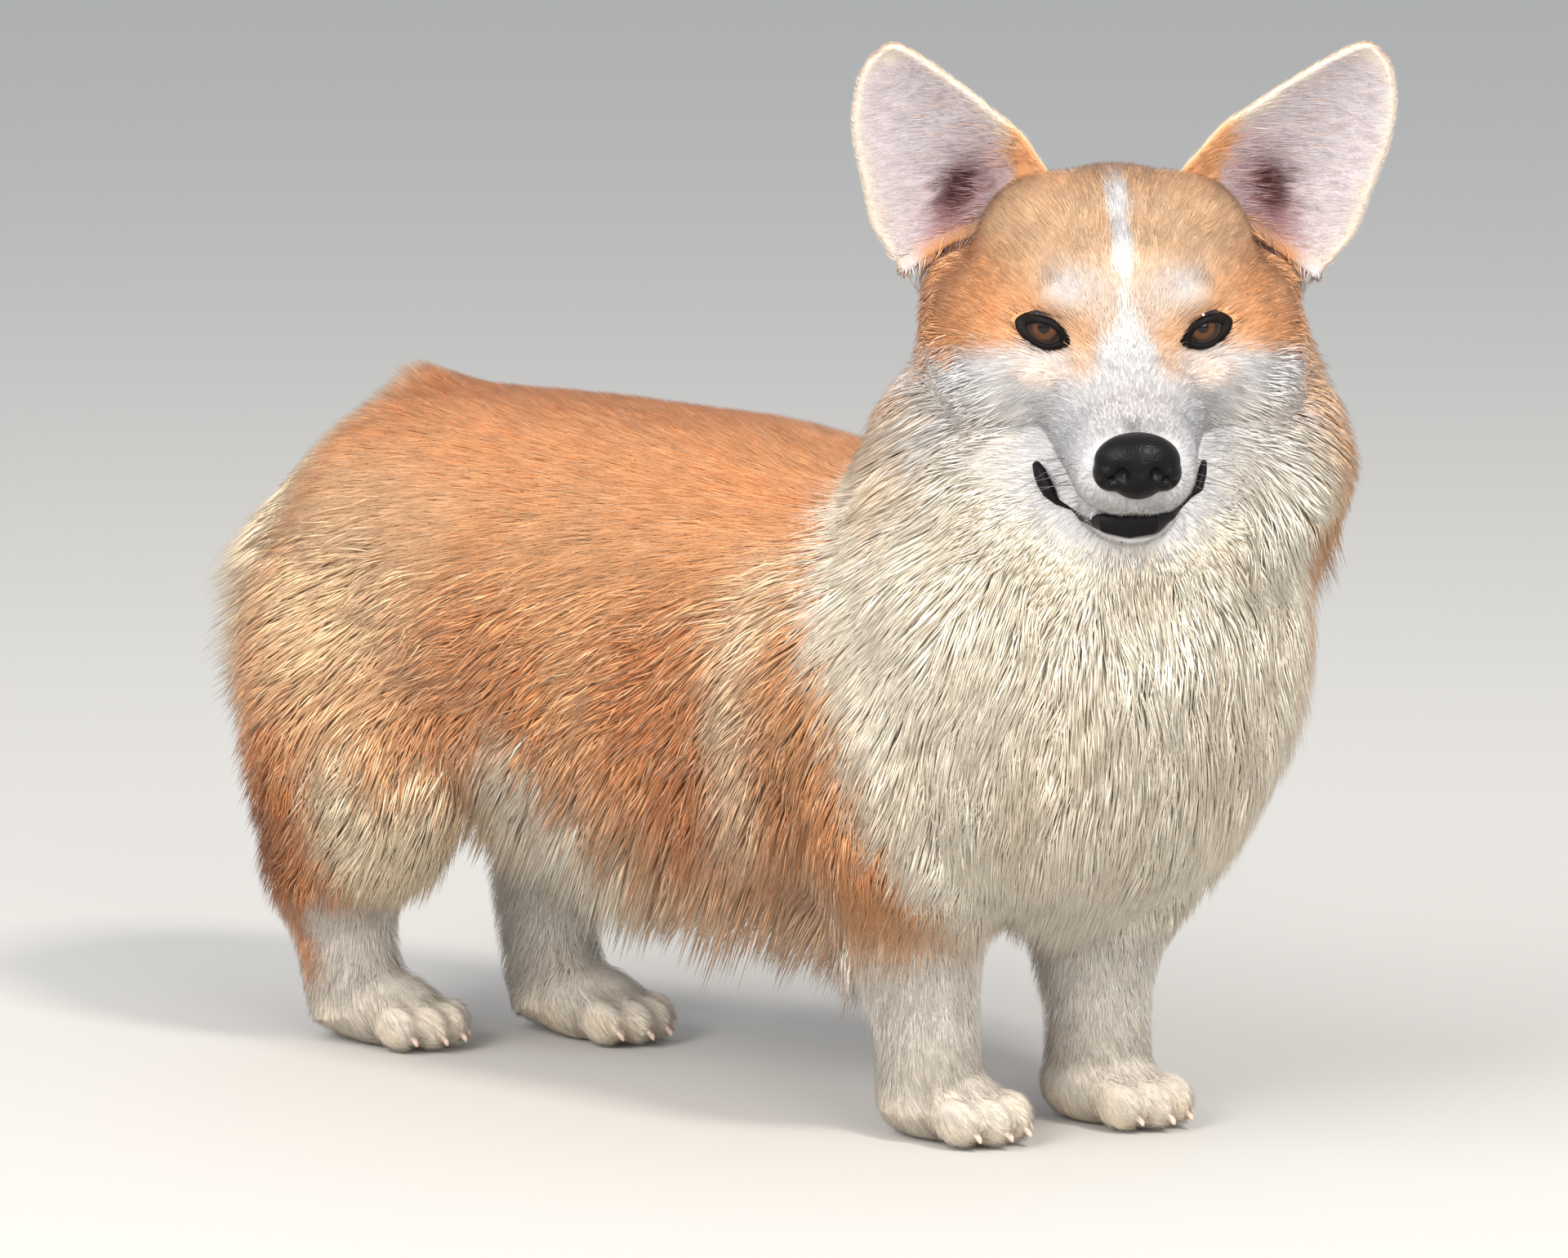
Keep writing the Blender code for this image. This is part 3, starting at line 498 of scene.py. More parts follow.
def on_blade(h):
    """For places in the head's frame: u and t on the ear there, and how far behind its middle."""
    u, t, behind = np.zeros((3, len(h)))
    for name, side in SIDES.items():
        mine = h[:, 0] * side > 0
        along = EAR_TIP[name] - EAR_ROOT
        off = h[mine] * np.array((side, 1, 1)) - np.array(EAR_ROOT)
        size = math.hypot(along.x, along.z)
        share = (off[:, 0] * along.x + off[:, 2] * along.z) / size**2
        out = (off[:, 0] * along.z - off[:, 2] * along.x) / size
        width = np.maximum(blade_width(np.clip(share, 0, 0.97), out > 0), 0.002)
        u[mine], t[mine] = out / width, share
        cup = EAR_CUP * (1 - np.clip(share, 0, 1)) ** 0.6 * np.clip(1 - u[mine] ** 2, 0, 1)
        behind[mine] = off[:, 1] - along.y * share - cup
    return u, t, behind


def ear_form(name):
    bm = bmesh.new()
    bmesh.ops.create_grid(bm, x_segments=24, y_segments=32, size=1.0)
    for v in bm.verts:
        v.co = ear_point(v.co.x, (v.co.y + 1) / 2, name)
    bmesh.ops.remove_doubles(bm, verts=bm.verts, dist=0.0004)
    ear = to_object(bm, "ear")
    modified(ear, ("SOLIDIFY", {"thickness": EAR_THICKNESS, "offset": 0}))
    modelled(ear, voxel=0.0011, smoothing=3)
    ear.data.transform(HEAD_FRAME)
    return ear


skin = body_form()
extremities = [head_form(), ear_form("right"), ear_form("left")]
extremities += [paw_form(middle, path) for middle, path in LEGS]
joined(skin, extremities)
modified(skin, ("DECIMATE", {"ratio": 0.40}), ("TRIANGULATE", {}))

# ---- Markings
# Red and white, as the coat grows: red back, flanks, forehead and ear backs, white muzzle, blaze,
# ruff, chest, belly and legs, with painted shade in some places. Skin and hair take their colour
# from the same masks.

RED = np.array((0.745, 0.300, 0.108))
DEEP_RED = np.array((0.52, 0.165, 0.050))
PALE_RED = np.array((0.80, 0.44, 0.215))
CREAM = np.array((0.84, 0.69, 0.49))
WHITE = np.array((0.90, 0.82, 0.69))
FACE_WHITE = np.array((0.61, 0.595, 0.595))
LEG_WHITE = np.array((0.87, 0.81, 0.73))
PAW_WHITE = np.array((0.53, 0.475, 0.41))
SHADED_EAR_WHITE = np.array((0.54, 0.48, 0.50))
MUZZLE_SIDE_SHADE = np.array((0.44, 0.44, 0.47))
FACE_RED = np.array((0.605, 0.335, 0.172))
BROWN = np.array((0.17, 0.060, 0.025))
BLACK = np.array((0.012, 0.010, 0.011))
PINK = np.array((0.43, 0.215, 0.23))
CANAL_SHADE = np.array((0.06, 0.015, 0.017))

# The left eye's outline seen from the front, as x and z: its corners, and how high it rises above
# and below the line between them, as shares of half its width
EYE_INNER, EYE_OUTER = np.array((0.0236, -0.0192)), np.array((0.0452, -0.0118))
EYE_MIDDLE = (EYE_INNER + EYE_OUTER) / 2
EYE_HALF = math.hypot(*(EYE_OUTER - EYE_INNER)) / 2
EYE_SLANT = math.atan2(*(EYE_OUTER - EYE_INNER)[::-1])
EYE_RISE = (0.64, 0.56)


def blob(points, centre, radii, soft=0.35):
    """A soft-edged ball mask: 1 inside, 0 outside."""
    reach = np.sqrt((((points - np.array(centre)) / np.array(radii)) ** 2).sum(1))
    return np.clip((1 + soft - reach) / (2 * soft), 0, 1)


def step(values, start, end):
    """0 at the start to 1 at the end, eased."""
    share = np.clip((values - start) / (end - start), 0, 1)
    return share * share * (3 - 2 * share)


def ripple(points, size, seed):
    """Smooth noise over the body, about -1 to 1."""
    rng = np.random.default_rng(seed)
    total = np.zeros(len(points))
    for _ in range(7):
        way = rng.normal(size=3)
        along = points @ (way / np.linalg.norm(way)) * rng.uniform(4, 9) / size
        total += np.sin(along + rng.uniform(0, 6.28))
    return total / 3


def layer(colours, colour, mask):
    """Paints a colour over the others where the mask is."""
    return colours + (colour - colours) * np.clip(mask, 0, 1)[:, None]


class Paint:
    """The colours at some places, painted over layer by layer."""

    def __init__(self, where, ground):
        self.where = where
        self.folded = np.c_[np.abs(where[:, 0]), where[:, 1:]]
        self.colours = np.tile(ground, (len(where), 1))

    def over(self, colour, mask):
        self.colours = layer(self.colours, colour, mask)

    def patch(self, colour, share, centre, radii, soft=0.35, one_side=False):
        """A soft ball of colour, sized in millimetres, on both sides unless it is on one."""
        where = self.where if one_side else self.folded
        ball_mask = blob(where, np.array(centre) / 1000, np.array(radii) / 1000, soft)
        self.over(colour, share * ball_mask)


def body_colours(p):
    side, y, z = np.abs(p[:, 0]), p[:, 1], p[:, 2]
    wave, fine = ripple(p, 0.05, 3), ripple(p, 0.018, 4)
    coat = Paint(p, RED)
    flank = step(side, 0.05, 0.09) * step(z, 0.13, 0.19)
    coat.over(PALE_RED, 0.75 * flank * (0.55 + 0.3 * wave))
    spine = step(z, 0.285, 0.302) * step(0.035 + 0.01 * wave - side, -0.02, 0.02)
    coat.over(DEEP_RED, 0.75 * spine)
    coat.patch(DEEP_RED, 0.45, (100, 90, 195), (40, 50, 35))
    haunch = (CREAM * 0.35 + PALE_RED * 0.65) * 1.05
    coat.patch(haunch, 0.95, (95, 165, 225), (50, 55, 50), 0.6)
    # Deep red and brown on the shoulder under the ruff: partly the coat's own colour, partly the
    # ruff's painted shadow
    coat.patch(DEEP_RED, 0.7, (100, -40, 180), (50, 35, 60))
    coat.patch(BROWN, 0.35, (100, -105, 165), (50, 18, 50), 0.6)
    coat.patch(BROWN, 0.30 * (0.6 + 0.4 * fine), (75, 250, 215), (40, 28, 40), 0.6)
    # Cream behind the shoulder and over the rump, deep red and brown down the breeches
    stripe = step(0.013 - np.abs(y + 0.078 - 0.25 * (0.2 - z)), -0.010, 0.008)
    stripe *= step(z, 0.12, 0.15) * step(0.262 - z, -0.01, 0.01)
    coat.over(CREAM, (0.62 + 0.2 * fine) * stripe * step(side, 0.06, 0.085))
    rump = step(y + 0.25 * (z - 0.2) + 0.01 * wave, 0.205, 0.255)
    coat.over(CREAM, 0.85 * rump * step(z, 0.12, 0.16))
    breeches = step(y, 0.17, 0.215) * step(0.165 - z + 0.012 * fine, -0.02, 0.02)
    coat.over(DEEP_RED, 0.7 * breeches * step(z, 0.06, 0.09))
    second_thigh = step(y, 0.195, 0.235) * step(0.135 - z + 0.02 * fine, -0.02, 0.02)
    coat.over(BROWN, 0.75 * second_thigh * step(z, 0.055, 0.08))
    # Cream belly fringe, white groin, and the shade between the forelegs and the belly
    behind = step(y, 0.0, 0.06)
    belly = step(0.132 + 0.022 * behind - z + 0.012 * wave, -0.02, 0.02)
    belly *= step(y + 0.13, 0, 0.02) * step(0.2 - y, 0, 0.03)
    coat.over(CREAM, belly * (0.6 + 0.4 * behind))
    coat.patch(WHITE, 1, (70, 74, 112), (60, 34, 50))
    coat.patch(RED, 0.7, (75, -50, 100), (35, 55, 26), 0.4)
    coat.patch(BROWN, 0.75, (85, -85, 110), (35, 30, 22), 0.6)
    # White collar and chest, with the red of the nape running down the left side of the neck
    ahead = -(y + 0.118 + 0.42 * (0.25 - z) + 0.006 * fine)
    collar = step(ahead, -0.012, 0.012) * step(z, 0.10, 0.125)
    nape = step(z - 0.300 - 0.5 * side, -0.02, 0.01) * step(y + 0.20, 0.0, 0.02)
    left = step(p[:, 0] - 0.038 - 0.45 * (y + 0.276) + 0.004 * fine, -0.008, 0.010)
    left *= step(z, 0.150, 0.180)
    coat.over(WHITE, collar * (1 - 0.9 * nape))
    coat.over(CREAM, 0.50 * collar * (0.5 + 0.4 * wave) * step(z, 0.12, 0.19))
    coat.over(PALE_RED * 0.6 + RED * 0.4, 0.92 * collar * left)
    coat.patch(PALE_RED, 0.65, (-78, -150, 325), (16, 24, 36), 0.6, one_side=True)
    coat.over(WHITE, step(-y, 0.155, 0.172) * step(0.140 - z, -0.012, 0.012))
    # White legs, with red at the elbow and down the back of the hock
    leg = step(0.098 - z + 0.008 * fine, -0.012, 0.012)
    leg *= 1 - step(np.abs(y), 0.09, 0.08) * step(z, 0.05, 0.06)
    thigh = step(y, 0.1, 0.12) * step(z, 0.066, 0.085) * step(side, 0.03, 0.045)
    coat.over(LEG_WHITE, leg * (1 - thigh))
    coat.patch(PALE_RED, 0.7, (-75, -140, 108), (22, 30, 18), one_side=True)
    coat.over(PAW_WHITE, step(0.050 - z, -0.012, 0.012))
    hock = step(y, 0.214, 0.230) * step(z, 0.022, 0.040) * step(0.090 - z, 0, 0.01)
    coat.over(RED * 0.85, 0.80 * hock * step(side, 0.030, 0.045))
    coat.over(CREAM, 0.5 * step(0.03 - z, 0.0, 0.02) * (0.5 + 0.5 * fine))
    return coat.colours


def head_colours(h):
    x, y, z = h.T
    side = np.abs(x)
    wave, fine = ripple(h, 0.03, 6), ripple(h, 0.010, 7)
    coat = Paint(h, FACE_RED)
    coat.patch(CREAM * 0.8, 0.36 + 0.12 * fine, (0, -30, 20), (45, 50, 22), 0.8)
    # Deeper red at the temples, from the eyes back under the ears, and painted shade on the right
    # temple
    coat.patch(RED * 0.9, 0.9, (66, -18, -8), (30, 45, 20), 0.5)
    coat.patch(DEEP_RED, 0.5, (80, 0, -22), (14, 30, 14), 0.6)
    coat.over(RED * 0.9, 0.5 * step(z, 0.032, 0.044))
    # Painted shade: the right temple only is darkened
    coat.patch(RED * 0.72, 0.75, (-70, -12, -12), (26, 40, 18), 0.5, one_side=True)
    # White from the muzzle over the cheeks up to just under the eyes, the brows and the blaze
    under_eye = z + 0.021 + 0.24 * np.maximum(side - 0.045, 0) - 0.0015 * fine
    coat.over(FACE_WHITE, step(under_eye, 0.005, -0.005))
    tan = FACE_WHITE * 0.55 + FACE_RED * 0.30
    coat.patch(tan, 0.75, (6, -55, -2), (17, 20, 16), 0.5)
    front = 0.0035 + 0.95 * np.maximum(-0.010 - z, 0) - side
    coat.over(FACE_WHITE, step(front, -0.003, 0.003) * step(z, 0.002, -0.008))
    # Painted shade greys the white brows above the eyes
    coat.patch(FACE_WHITE * 0.70, 0.85, (24.5, -53, 4.5), (10.5, 18, 8), 0.7)
    width = np.where(z > 0.012, 0.0040, 0.0009) + 0.0005 * fine
    blaze = step(width - np.abs(x + 0.0014), -0.0010, 0.0010) * step(z, 0.042, 0.038)
    coat.over(FACE_WHITE * 1.15, blaze * step(-y, -0.02, 0.0))
    # Painted shade, a cool grey, down both sides of the muzzle
    coat.patch(MUZZLE_SIDE_SHADE, 0.45, (27, -85, -50), (10, 30, 20), 0.6)
    # Tan beside the bridge and under the eyes, cream on the cheeks
    coat.patch(PALE_RED, 0.60, (18.5, -61, -21.5), (5.5, 12, 11), 0.6)
    coat.patch(PALE_RED, 0.35, (34, -53, -30), (10, 14, 6), 0.6)
    cheeks = step(side, 0.035, 0.06) * step(-z, 0.03, 0.06)
    coat.over(CREAM * 0.95, 0.55 * cheeks * (0.6 + 0.4 * wave))
    # Red at the edge of the cheek, below the ear and behind it, and the white foot of the ear
    coat.patch(PALE_RED, 0.85, (83, -4, -40), (10, 30, 30), 0.5, one_side=True)
    coat.patch(PALE_RED, 0.85, (-87, 0, -45), (9, 30, 22), 0.5, one_side=True)
    coat.over(RED, step(y, 0.034, 0.055) * step(z, -0.09, -0.07))
    coat.patch(FACE_WHITE, 1, (94, 12, -8), (15, 30, 18), 0.25)
    # The collar's white on the throat, pink and grey skin above the nose, black lips
    coat.over(WHITE * 0.92, step(-z, 0.060, 0.085) * step(y, -0.075, -0.045))
    coat.patch(PINK * 1.3, 0.15, (4, -96, -34), (9, 12, 6), 0.6)
    dark = 0.7 + 0.3 * fine
    coat.patch(BLACK, 0.80 * dark, (0, -112.5, -39.5), (14, 8, 5), 0.6)
    coat.patch(BLACK, 0.50 * dark, (0, -120, -70), (15, 10, 4.5), 0.7)
    coat.over(BLACK, 1.2 * along_line(h, MOUTH, 0.0016))
    coat.over(BLACK, lip_band(h))
    return coat.colours


def lip_band(h):
    """1 on the black front of the lower lip."""
    m = np.c_[np.abs(h[:, 0]), h[:, 1], h[:, 2]]
    return blob(m, (0.0, -0.1080, -0.0820), (0.0190, 0.018, 0.0054), 0.2)


def eye_patch(h):
    """1 on the bare black skin round each eye: an almond, seen from the front, low at the nose."""
    x, z = np.abs(h[:, 0]) - EYE_MIDDLE[0], h[:, 2] - EYE_MIDDLE[1]
    along = (x * math.cos(EYE_SLANT) + z * math.sin(EYE_SLANT)) / EYE_HALF
    off = (z * math.cos(EYE_SLANT) - x * math.sin(EYE_SLANT)) / EYE_HALF
    rise = np.where(off > 0, *EYE_RISE) * np.clip(1 - along**2, 0, 1) ** 0.8
    return step(rise - np.abs(off), -0.05, 0.05) * (h[:, 1] < -0.03)


def ear_colours(h):
    """Red behind, cream rim, pale inside greyed with painted shade over pink skin, dark painted
    shade in the canal.
    """
    u, t, behind = on_blade(h)
    wave = ripple(h, 0.02, 9)
    # The inside is white hair greyed with painted shade of the cupped ear
    inside = np.tile(SHADED_EAR_WHITE, (len(h), 1))
    # The pink runs down and outwards from the canal to the foot of the ear
    pink = np.exp(-((u / 0.65) ** 2) - ((t - 0.15 + 0.24 * u) / 0.14) ** 2)
    inside = layer(inside, PINK, 0.95 * pink)
    # Painted shade where the canal goes in
    canal = np.exp(-(((u + 0.10) / 0.30) ** 2) - ((t - 0.24 + 0.2 * (u + 0.1)) / 0.085) ** 2)
    inside = layer(inside, CANAL_SHADE, 1.4 * canal)
    rim = CREAM * 0.45 + FACE_WHITE * 0.40
    inside = layer(inside, rim, 0.9 * step(np.abs(u) + 0.05 * wave, 0.74, 0.94))
    inside = layer(inside, rim, 0.9 * step(t, 0.86, 0.97))
    band = step(-u - 0.86 + 1.15 * np.clip(0.42 - t, -1, 1) - 0.04 * wave, -0.06, 0.08)
    inside = layer(inside, RED * 0.4 + FACE_RED * 0.53, band * step(0.50 - t, 0.0, 0.12))
    outside = np.tile(RED * 0.7 + PALE_RED * 0.3, (len(h), 1))
    outside = layer(outside, CREAM, 0.8 * step(np.abs(u), 0.86, 1.0))
    front = step(-behind, -0.0004, 0.0004)
    return outside + (inside - outside) * front[:, None]


HEAD_BACK = np.array(HEAD_FRAME.inverted())


def head_places(points):
    return points @ HEAD_BACK[:3, :3].T + HEAD_BACK[:3, 3]


def head_share(points):
    """1 on the head and 0 on the body, with the join hidden in the ruff."""
    h = head_places(points)
    inside = blob(h, (0, -0.015, -0.020), (0.100, 0.110, 0.085), 0.06)
    inside = np.maximum(inside, blob(h, (0, -0.085, -0.062), (0.046, 0.062, 0.042), 0.06))
    return np.maximum(inside, ear_share(h)) * step(points[:, 2], 0.26, 0.275)


def ear_share(h):
    """1 on the blades of the ears, in the head's frame."""
    u, t, behind = on_blade(h)
    within = step(t, 0.03, 0.09) * step(1.35 - np.abs(u), 0, 0.1)
    return within * step(0.0075 - np.abs(behind), 0, 0.002)


def coat_colours(points):
    h = head_places(points)
    share = head_share(points)
    ears = (ear_share(h) * share)[:, None]
    head = head_colours(h)
    head = layer(head, BLACK, eye_patch(h))
    head += (ear_colours(h) - head) * ears
    return body_colours(points) * (1 - share)[:, None] + head * share[:, None]


def opaque(colours):
    return np.c_[colours, np.ones(len(colours))]


def set_at_points(mesh, name, values):
    """Numbers, vectors or colours at the mesh's points, under a name that its material reads."""
    kinds = {1: ("FLOAT", "value"), 3: ("FLOAT_VECTOR", "vector"), 4: ("FLOAT_COLOR", "color")}
    kind, key = kinds[values.shape[-1]]
    attribute = mesh.attributes.new(name, kind, "POINT")
    attribute.data.foreach_set(key, values.astype(np.float32).ravel())


# The skin is painted a little darker than the hair's markings, as shade under the coat
SKIN_SHADE = 0.92
set_at_points(skin.data, "coat_colour", opaque(coat_colours(places(skin.data)) * SKIN_SHADE))


def unwrap(obj):
    """The skin's own shape is laid flat once, and every tuft takes its place on that map."""
    bpy.ops.object.select_all(action="DESELECT")
    bpy.context.view_layer.objects.active = obj
    obj.select_set(True)
    obj.data.uv_layers.new(name="OFBake")
    bpy.ops.object.mode_set(mode="EDIT")
    bpy.ops.mesh.select_all(action="SELECT")
    bpy.ops.uv.smart_project(angle_limit=math.radians(66), island_margin=0.003)
    bpy.ops.object.mode_set(mode="OBJECT")


unwrap(skin)


def finish_piece(obj, material, *nodes, slot=None, on_head=False):
    """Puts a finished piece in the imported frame, with its material and the nodes it stands for."""
    if on_head:
        obj.data.transform(HEAD_FRAME)
    obj.data.transform(Matrix.Translation(MIDDLE))
    obj.data.materials.clear()
    obj.data.materials.append(material)
    obj.data.shade_smooth()
    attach(obj, "root")
    if nodes:
        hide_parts(*nodes)


def put(material, node, sockets):
    """Sets the node's inputs, or links them where the value is another node's output."""
    for key, value in sockets.items():
        if isinstance(value, bpy.types.NodeSocket):
            material.node_tree.links.new(value, node.inputs[key])
        else:
            node.inputs[key].default_value = value
    return node


def shade(material, sockets):
    put(material, material.node_tree.nodes["Principled BSDF"], sockets)


def principled(name, sockets):
    material = bpy.data.materials.new(name)
    material.use_nodes = True
    shade(material, sockets)
    return material


def linked(material, kind, sockets, output=0, **settings):
    """The output of a new node with these settings and inputs."""
    node = material.node_tree.nodes.new("ShaderNode" + kind)
    for key, value in settings.items():
        setattr(node, key, value)
    return put(material, node, sockets).outputs[output]


def at_hand(material, name, output="Color"):
    """What the mesh carries under a name at its points."""
    return linked(material, "Attribute", {}, output, attribute_name=name)


def grain(material, scale, detail=2.0, kind="TexNoise", output="Fac"):
    """A pattern fixed to the object."""
    where = linked(material, "TexCoord", {}, "Object")
    sockets = {"Vector": where, "Scale": scale, "Detail": detail}
    return linked(material, kind, sockets, output)


def ranged(material, value, low, high, start=0.0, end=1.0):
    sockets = {"Value": value, "From Min": start, "From Max": end, "To Min": low, "To Max": high}
    return linked(material, "MapRange", sockets)


def times(material, colour, factor):
    return linked(material, "VectorMath", {0: colour, 1: factor}, operation="MULTIPLY")


def skin_material():
    material = principled("skin", {"Roughness": 0.75, "Specular IOR Level": 0.2})
    rough = grain(material, 900.0, 4.0)
    colour = times(material, at_hand(material, "coat_colour"), ranged(material, rough, 0.72, 1.1))
    bump = linked(material, "Bump", {"Height": rough, "Strength": 0.6, "Distance": 0.0006})
    shade(material, {"Base Color": colour, "Normal": bump})
    return material


# ---- Coat
# Hair in thin tufts with three sides, rooted in the skin. Each follows the combed lie over the
# body, rises from the skin to the coat's outer surface, and leans to the middle of its clump.

ROOT_DEPTH = 0.0004
LENGTHS, RISES = (0.75, 1.2), (0.72, 1.12)
HAIR_WIDTH, HAIR_WIDTH_GROWTH = 0.00028, 0.28
CLUMP_SPREAD = 0.35
# Where a tuft takes its colour: how far along its lie, how far out, and how much astray
STAIN_REACH, STAIN_OUT, STAIN_ASTRAY = 0.45, 0.0020, 0.0012
TONE_LIMITS = (0.68, 1.28)
CLEAR_OF_FLOOR = 0.0003

coat_random = np.random.default_rng(11)
skin_mesh = skin.data
skin_places = places(skin_mesh)
skin_normals = normals(skin_mesh)
corners = np.empty(len(skin_mesh.polygons) * 3, np.int32)
skin_mesh.polygons.foreach_get("vertices", corners)
corners = corners.reshape(-1, 3)
corner_map = np.empty(len(skin_mesh.loops) * 2, np.float32)
skin_mesh.uv_layers["OFBake"].data.foreach_get("uv", corner_map)
corner_map = corner_map.reshape(-1, 3, 2)
skin_tree = BVHTree.FromPolygons(skin_places.tolist(), corners.tolist())
face_middles = skin_places[corners].mean(1)
a, b, c = (skin_places[corners[:, i]] for i in range(3))
face_areas = np.linalg.norm(np.cross(b - a, c - a), axis=1) / 2


def unit(vectors):
    return vectors / np.maximum(np.linalg.norm(vectors, axis=1, keepdims=True), 1e-9)


def turned(vectors, axes, angles):
    """Vectors turned about unit axes that they are square to."""
    return vectors * np.cos(angles)[:, None] + np.cross(axes, vectors) * np.sin(angles)[:, None]


def hair_width(length):
    return HAIR_WIDTH * (length * 1000) ** HAIR_WIDTH_GROWTH


def lie(points):
    """The combed lie, with that of the ears: up behind, swept outwards over the cup in front."""
    grown = combed(points)
    h = head_places(points)
    ears = (ear_share(h) > 0.5) & (head_share(points) > 0.5)
    u, t, behind = on_blade(h[ears])
    side = np.sign(h[ears, 0])
    along = unit(np.array(EAR_TIP["left"] - EAR_ROOT)[None])
    across = np.array((along[0, 2], 0, -along[0, 0]))[None]
    front = (behind < 0)[:, None]
    rim = step(np.abs(u), 0.70, 0.95)[:, None]
    sweep = across * (0.9 - 0.4 * rim) + along * (0.55 + 0.4 * rim) + np.array((0, -0.15, 0))
    way = np.where(front, sweep, along + 0.25 * across * np.sign(u)[:, None])
    way[:, 0] *= side
    grown[ears, :3] = unit(way) @ np.array(HEAD_TURN.to_3x3()).T
    tuft = np.exp(-(((u + 0.45) / 0.45) ** 2) - ((t - 0.40) / 0.28) ** 2)
    grown[ears, 3] = np.where(front[:, 0], 0.007 + 0.009 * tuft - 0.002 * rim[:, 0], 0.007)
    grown[ears, 4] = np.where(front[:, 0], 0.0014 + 0.0018 * tuft, 0.0012)
    grown[ears, 5] = np.where(front[:, 0], 0.25 + 0.3 * tuft, 0.1)
    return grown


def roots(mask, count):
    """Roots over the masked skin, closer where the hair is shorter, as face numbers and shares."""
    length = lie(face_middles)[:, 3]
    expected = face_areas * mask.astype(float) / (hair_width(length) * length)
    spread = np.cumsum(expected)
    picks = (np.arange(count) + coat_random.random(count)) * spread[-1] / count
    faces = np.searchsorted(spread, picks).clip(0, len(corners) - 1)
    u, v = coat_random.random((2, count))
    flip = u + v > 1
    u[flip], v[flip] = 1 - u[flip], 1 - v[flip]
    return faces, np.c_[1 - u - v, u, v]


def over_skin(points):
    """The nearest place on the skin to each point, and the skin's normal there."""
    near = np.empty_like(points)
    out = np.empty_like(points)
    for i, p in enumerate(points):
        place, normal, _, _ = skin_tree.find_nearest(p)
        near[i] = place
        out[i] = normal
    return near, out


def coat_piece(name, mask, count, stations, slot, clump=12, lean=0.2, stray=0.12, fine=1.0):
    """One piece of the coat: tufts with a ring at each station and a point at the tip."""
    faces, shares = roots(mask, count)
    start = (skin_places[corners[faces]] * shares[:, :, None]).sum(1)
    out = unit((skin_normals[corners[faces]] * shares[:, :, None]).sum(1))
    at = (corner_map[faces] * shares[:, :, None]).sum(1)
    grown = lie(start)
    way, length, depth, free = unit(grown[:, :3]), grown[:, 3], grown[:, 4], grown[:, 5]
    length = length * coat_random.uniform(*LENGTHS, count)
    # Clumps: each tuft shares its clump's stray, and its tip leans to the clump's own
    heads = np.flatnonzero(coat_random.random(count) < 1 / clump)
    tree = KDTree(len(heads))
    for i, head in enumerate(heads):
        tree.insert(start[head], i)
    tree.balance()
    clump_of = np.array([heads[tree.find(p)[1]] for p in start])
    own = coat_random.normal(size=count)
    bend = own[clump_of] * stray * 1.1 + coat_random.normal(size=count) * stray
    flat = unit(way - out * (way * out).sum(1, keepdims=True))
    flat = turned(flat, out, bend)
    down = unit(way + 0.25 * coat_random.normal(size=(count, 3)) * stray)
    rise = coat_random.uniform(*RISES, count)
    path, tops = [start - out * ROOT_DEPTH], [out]
    for s in stations[1:] + [1.0]:
        near, normal = over_skin(start + flat * (length * s)[:, None])
        laid = near + normal * (depth * rise * (0.12 + 0.88 * s**0.8))[:, None]
        hung = start + down * (length * s)[:, None] + out * (depth * rise * s * 0.7)[:, None]
        path.append(laid + (hung - laid) * free[:, None])
        tops.append(normal)
    for i, s in enumerate(stations[1:] + [1.0], 1):
        pull = lean * s * s
        target = path[i][clump_of] + (start - start[clump_of]) * CLUMP_SPREAD
        far = np.linalg.norm(start - start[clump_of], axis=1) > 0.5 * length
        path[i] = np.where(far[:, None], path[i], path[i] + (target - path[i]) * pull)
    # The edge of a marking is ragged, as hairs reach across it
    reach = length * coat_random.uniform(-STAIN_REACH, STAIN_REACH, count)
    stained = start + out * STAIN_OUT + flat * reach[:, None]
    colours = coat_colours(stained + coat_random.normal(size=(count, 3)) * STAIN_ASTRAY)
    red, green, blue = colours.T
    redness = np.clip((red - green) * (green - blue) / 0.07, 0, 1)
    pale = np.clip(coat_random.normal(size=count) * 0.40, 0, 0.7) * redness
    colours = layer(colours, CREAM * 0.55 + PALE_RED * 0.45, pale)
    tone = 1 + (0.03 + 0.05 * redness) * own[clump_of]
    tone = tone + (0.06 + 0.14 * redness) * coat_random.normal(size=count)
    colours = np.clip(colours * np.clip(tone, *TONE_LIMITS)[:, None], 0, 0.96)
    write_tufts(name, path, tops, stations, length, at, colours, slot, fine)


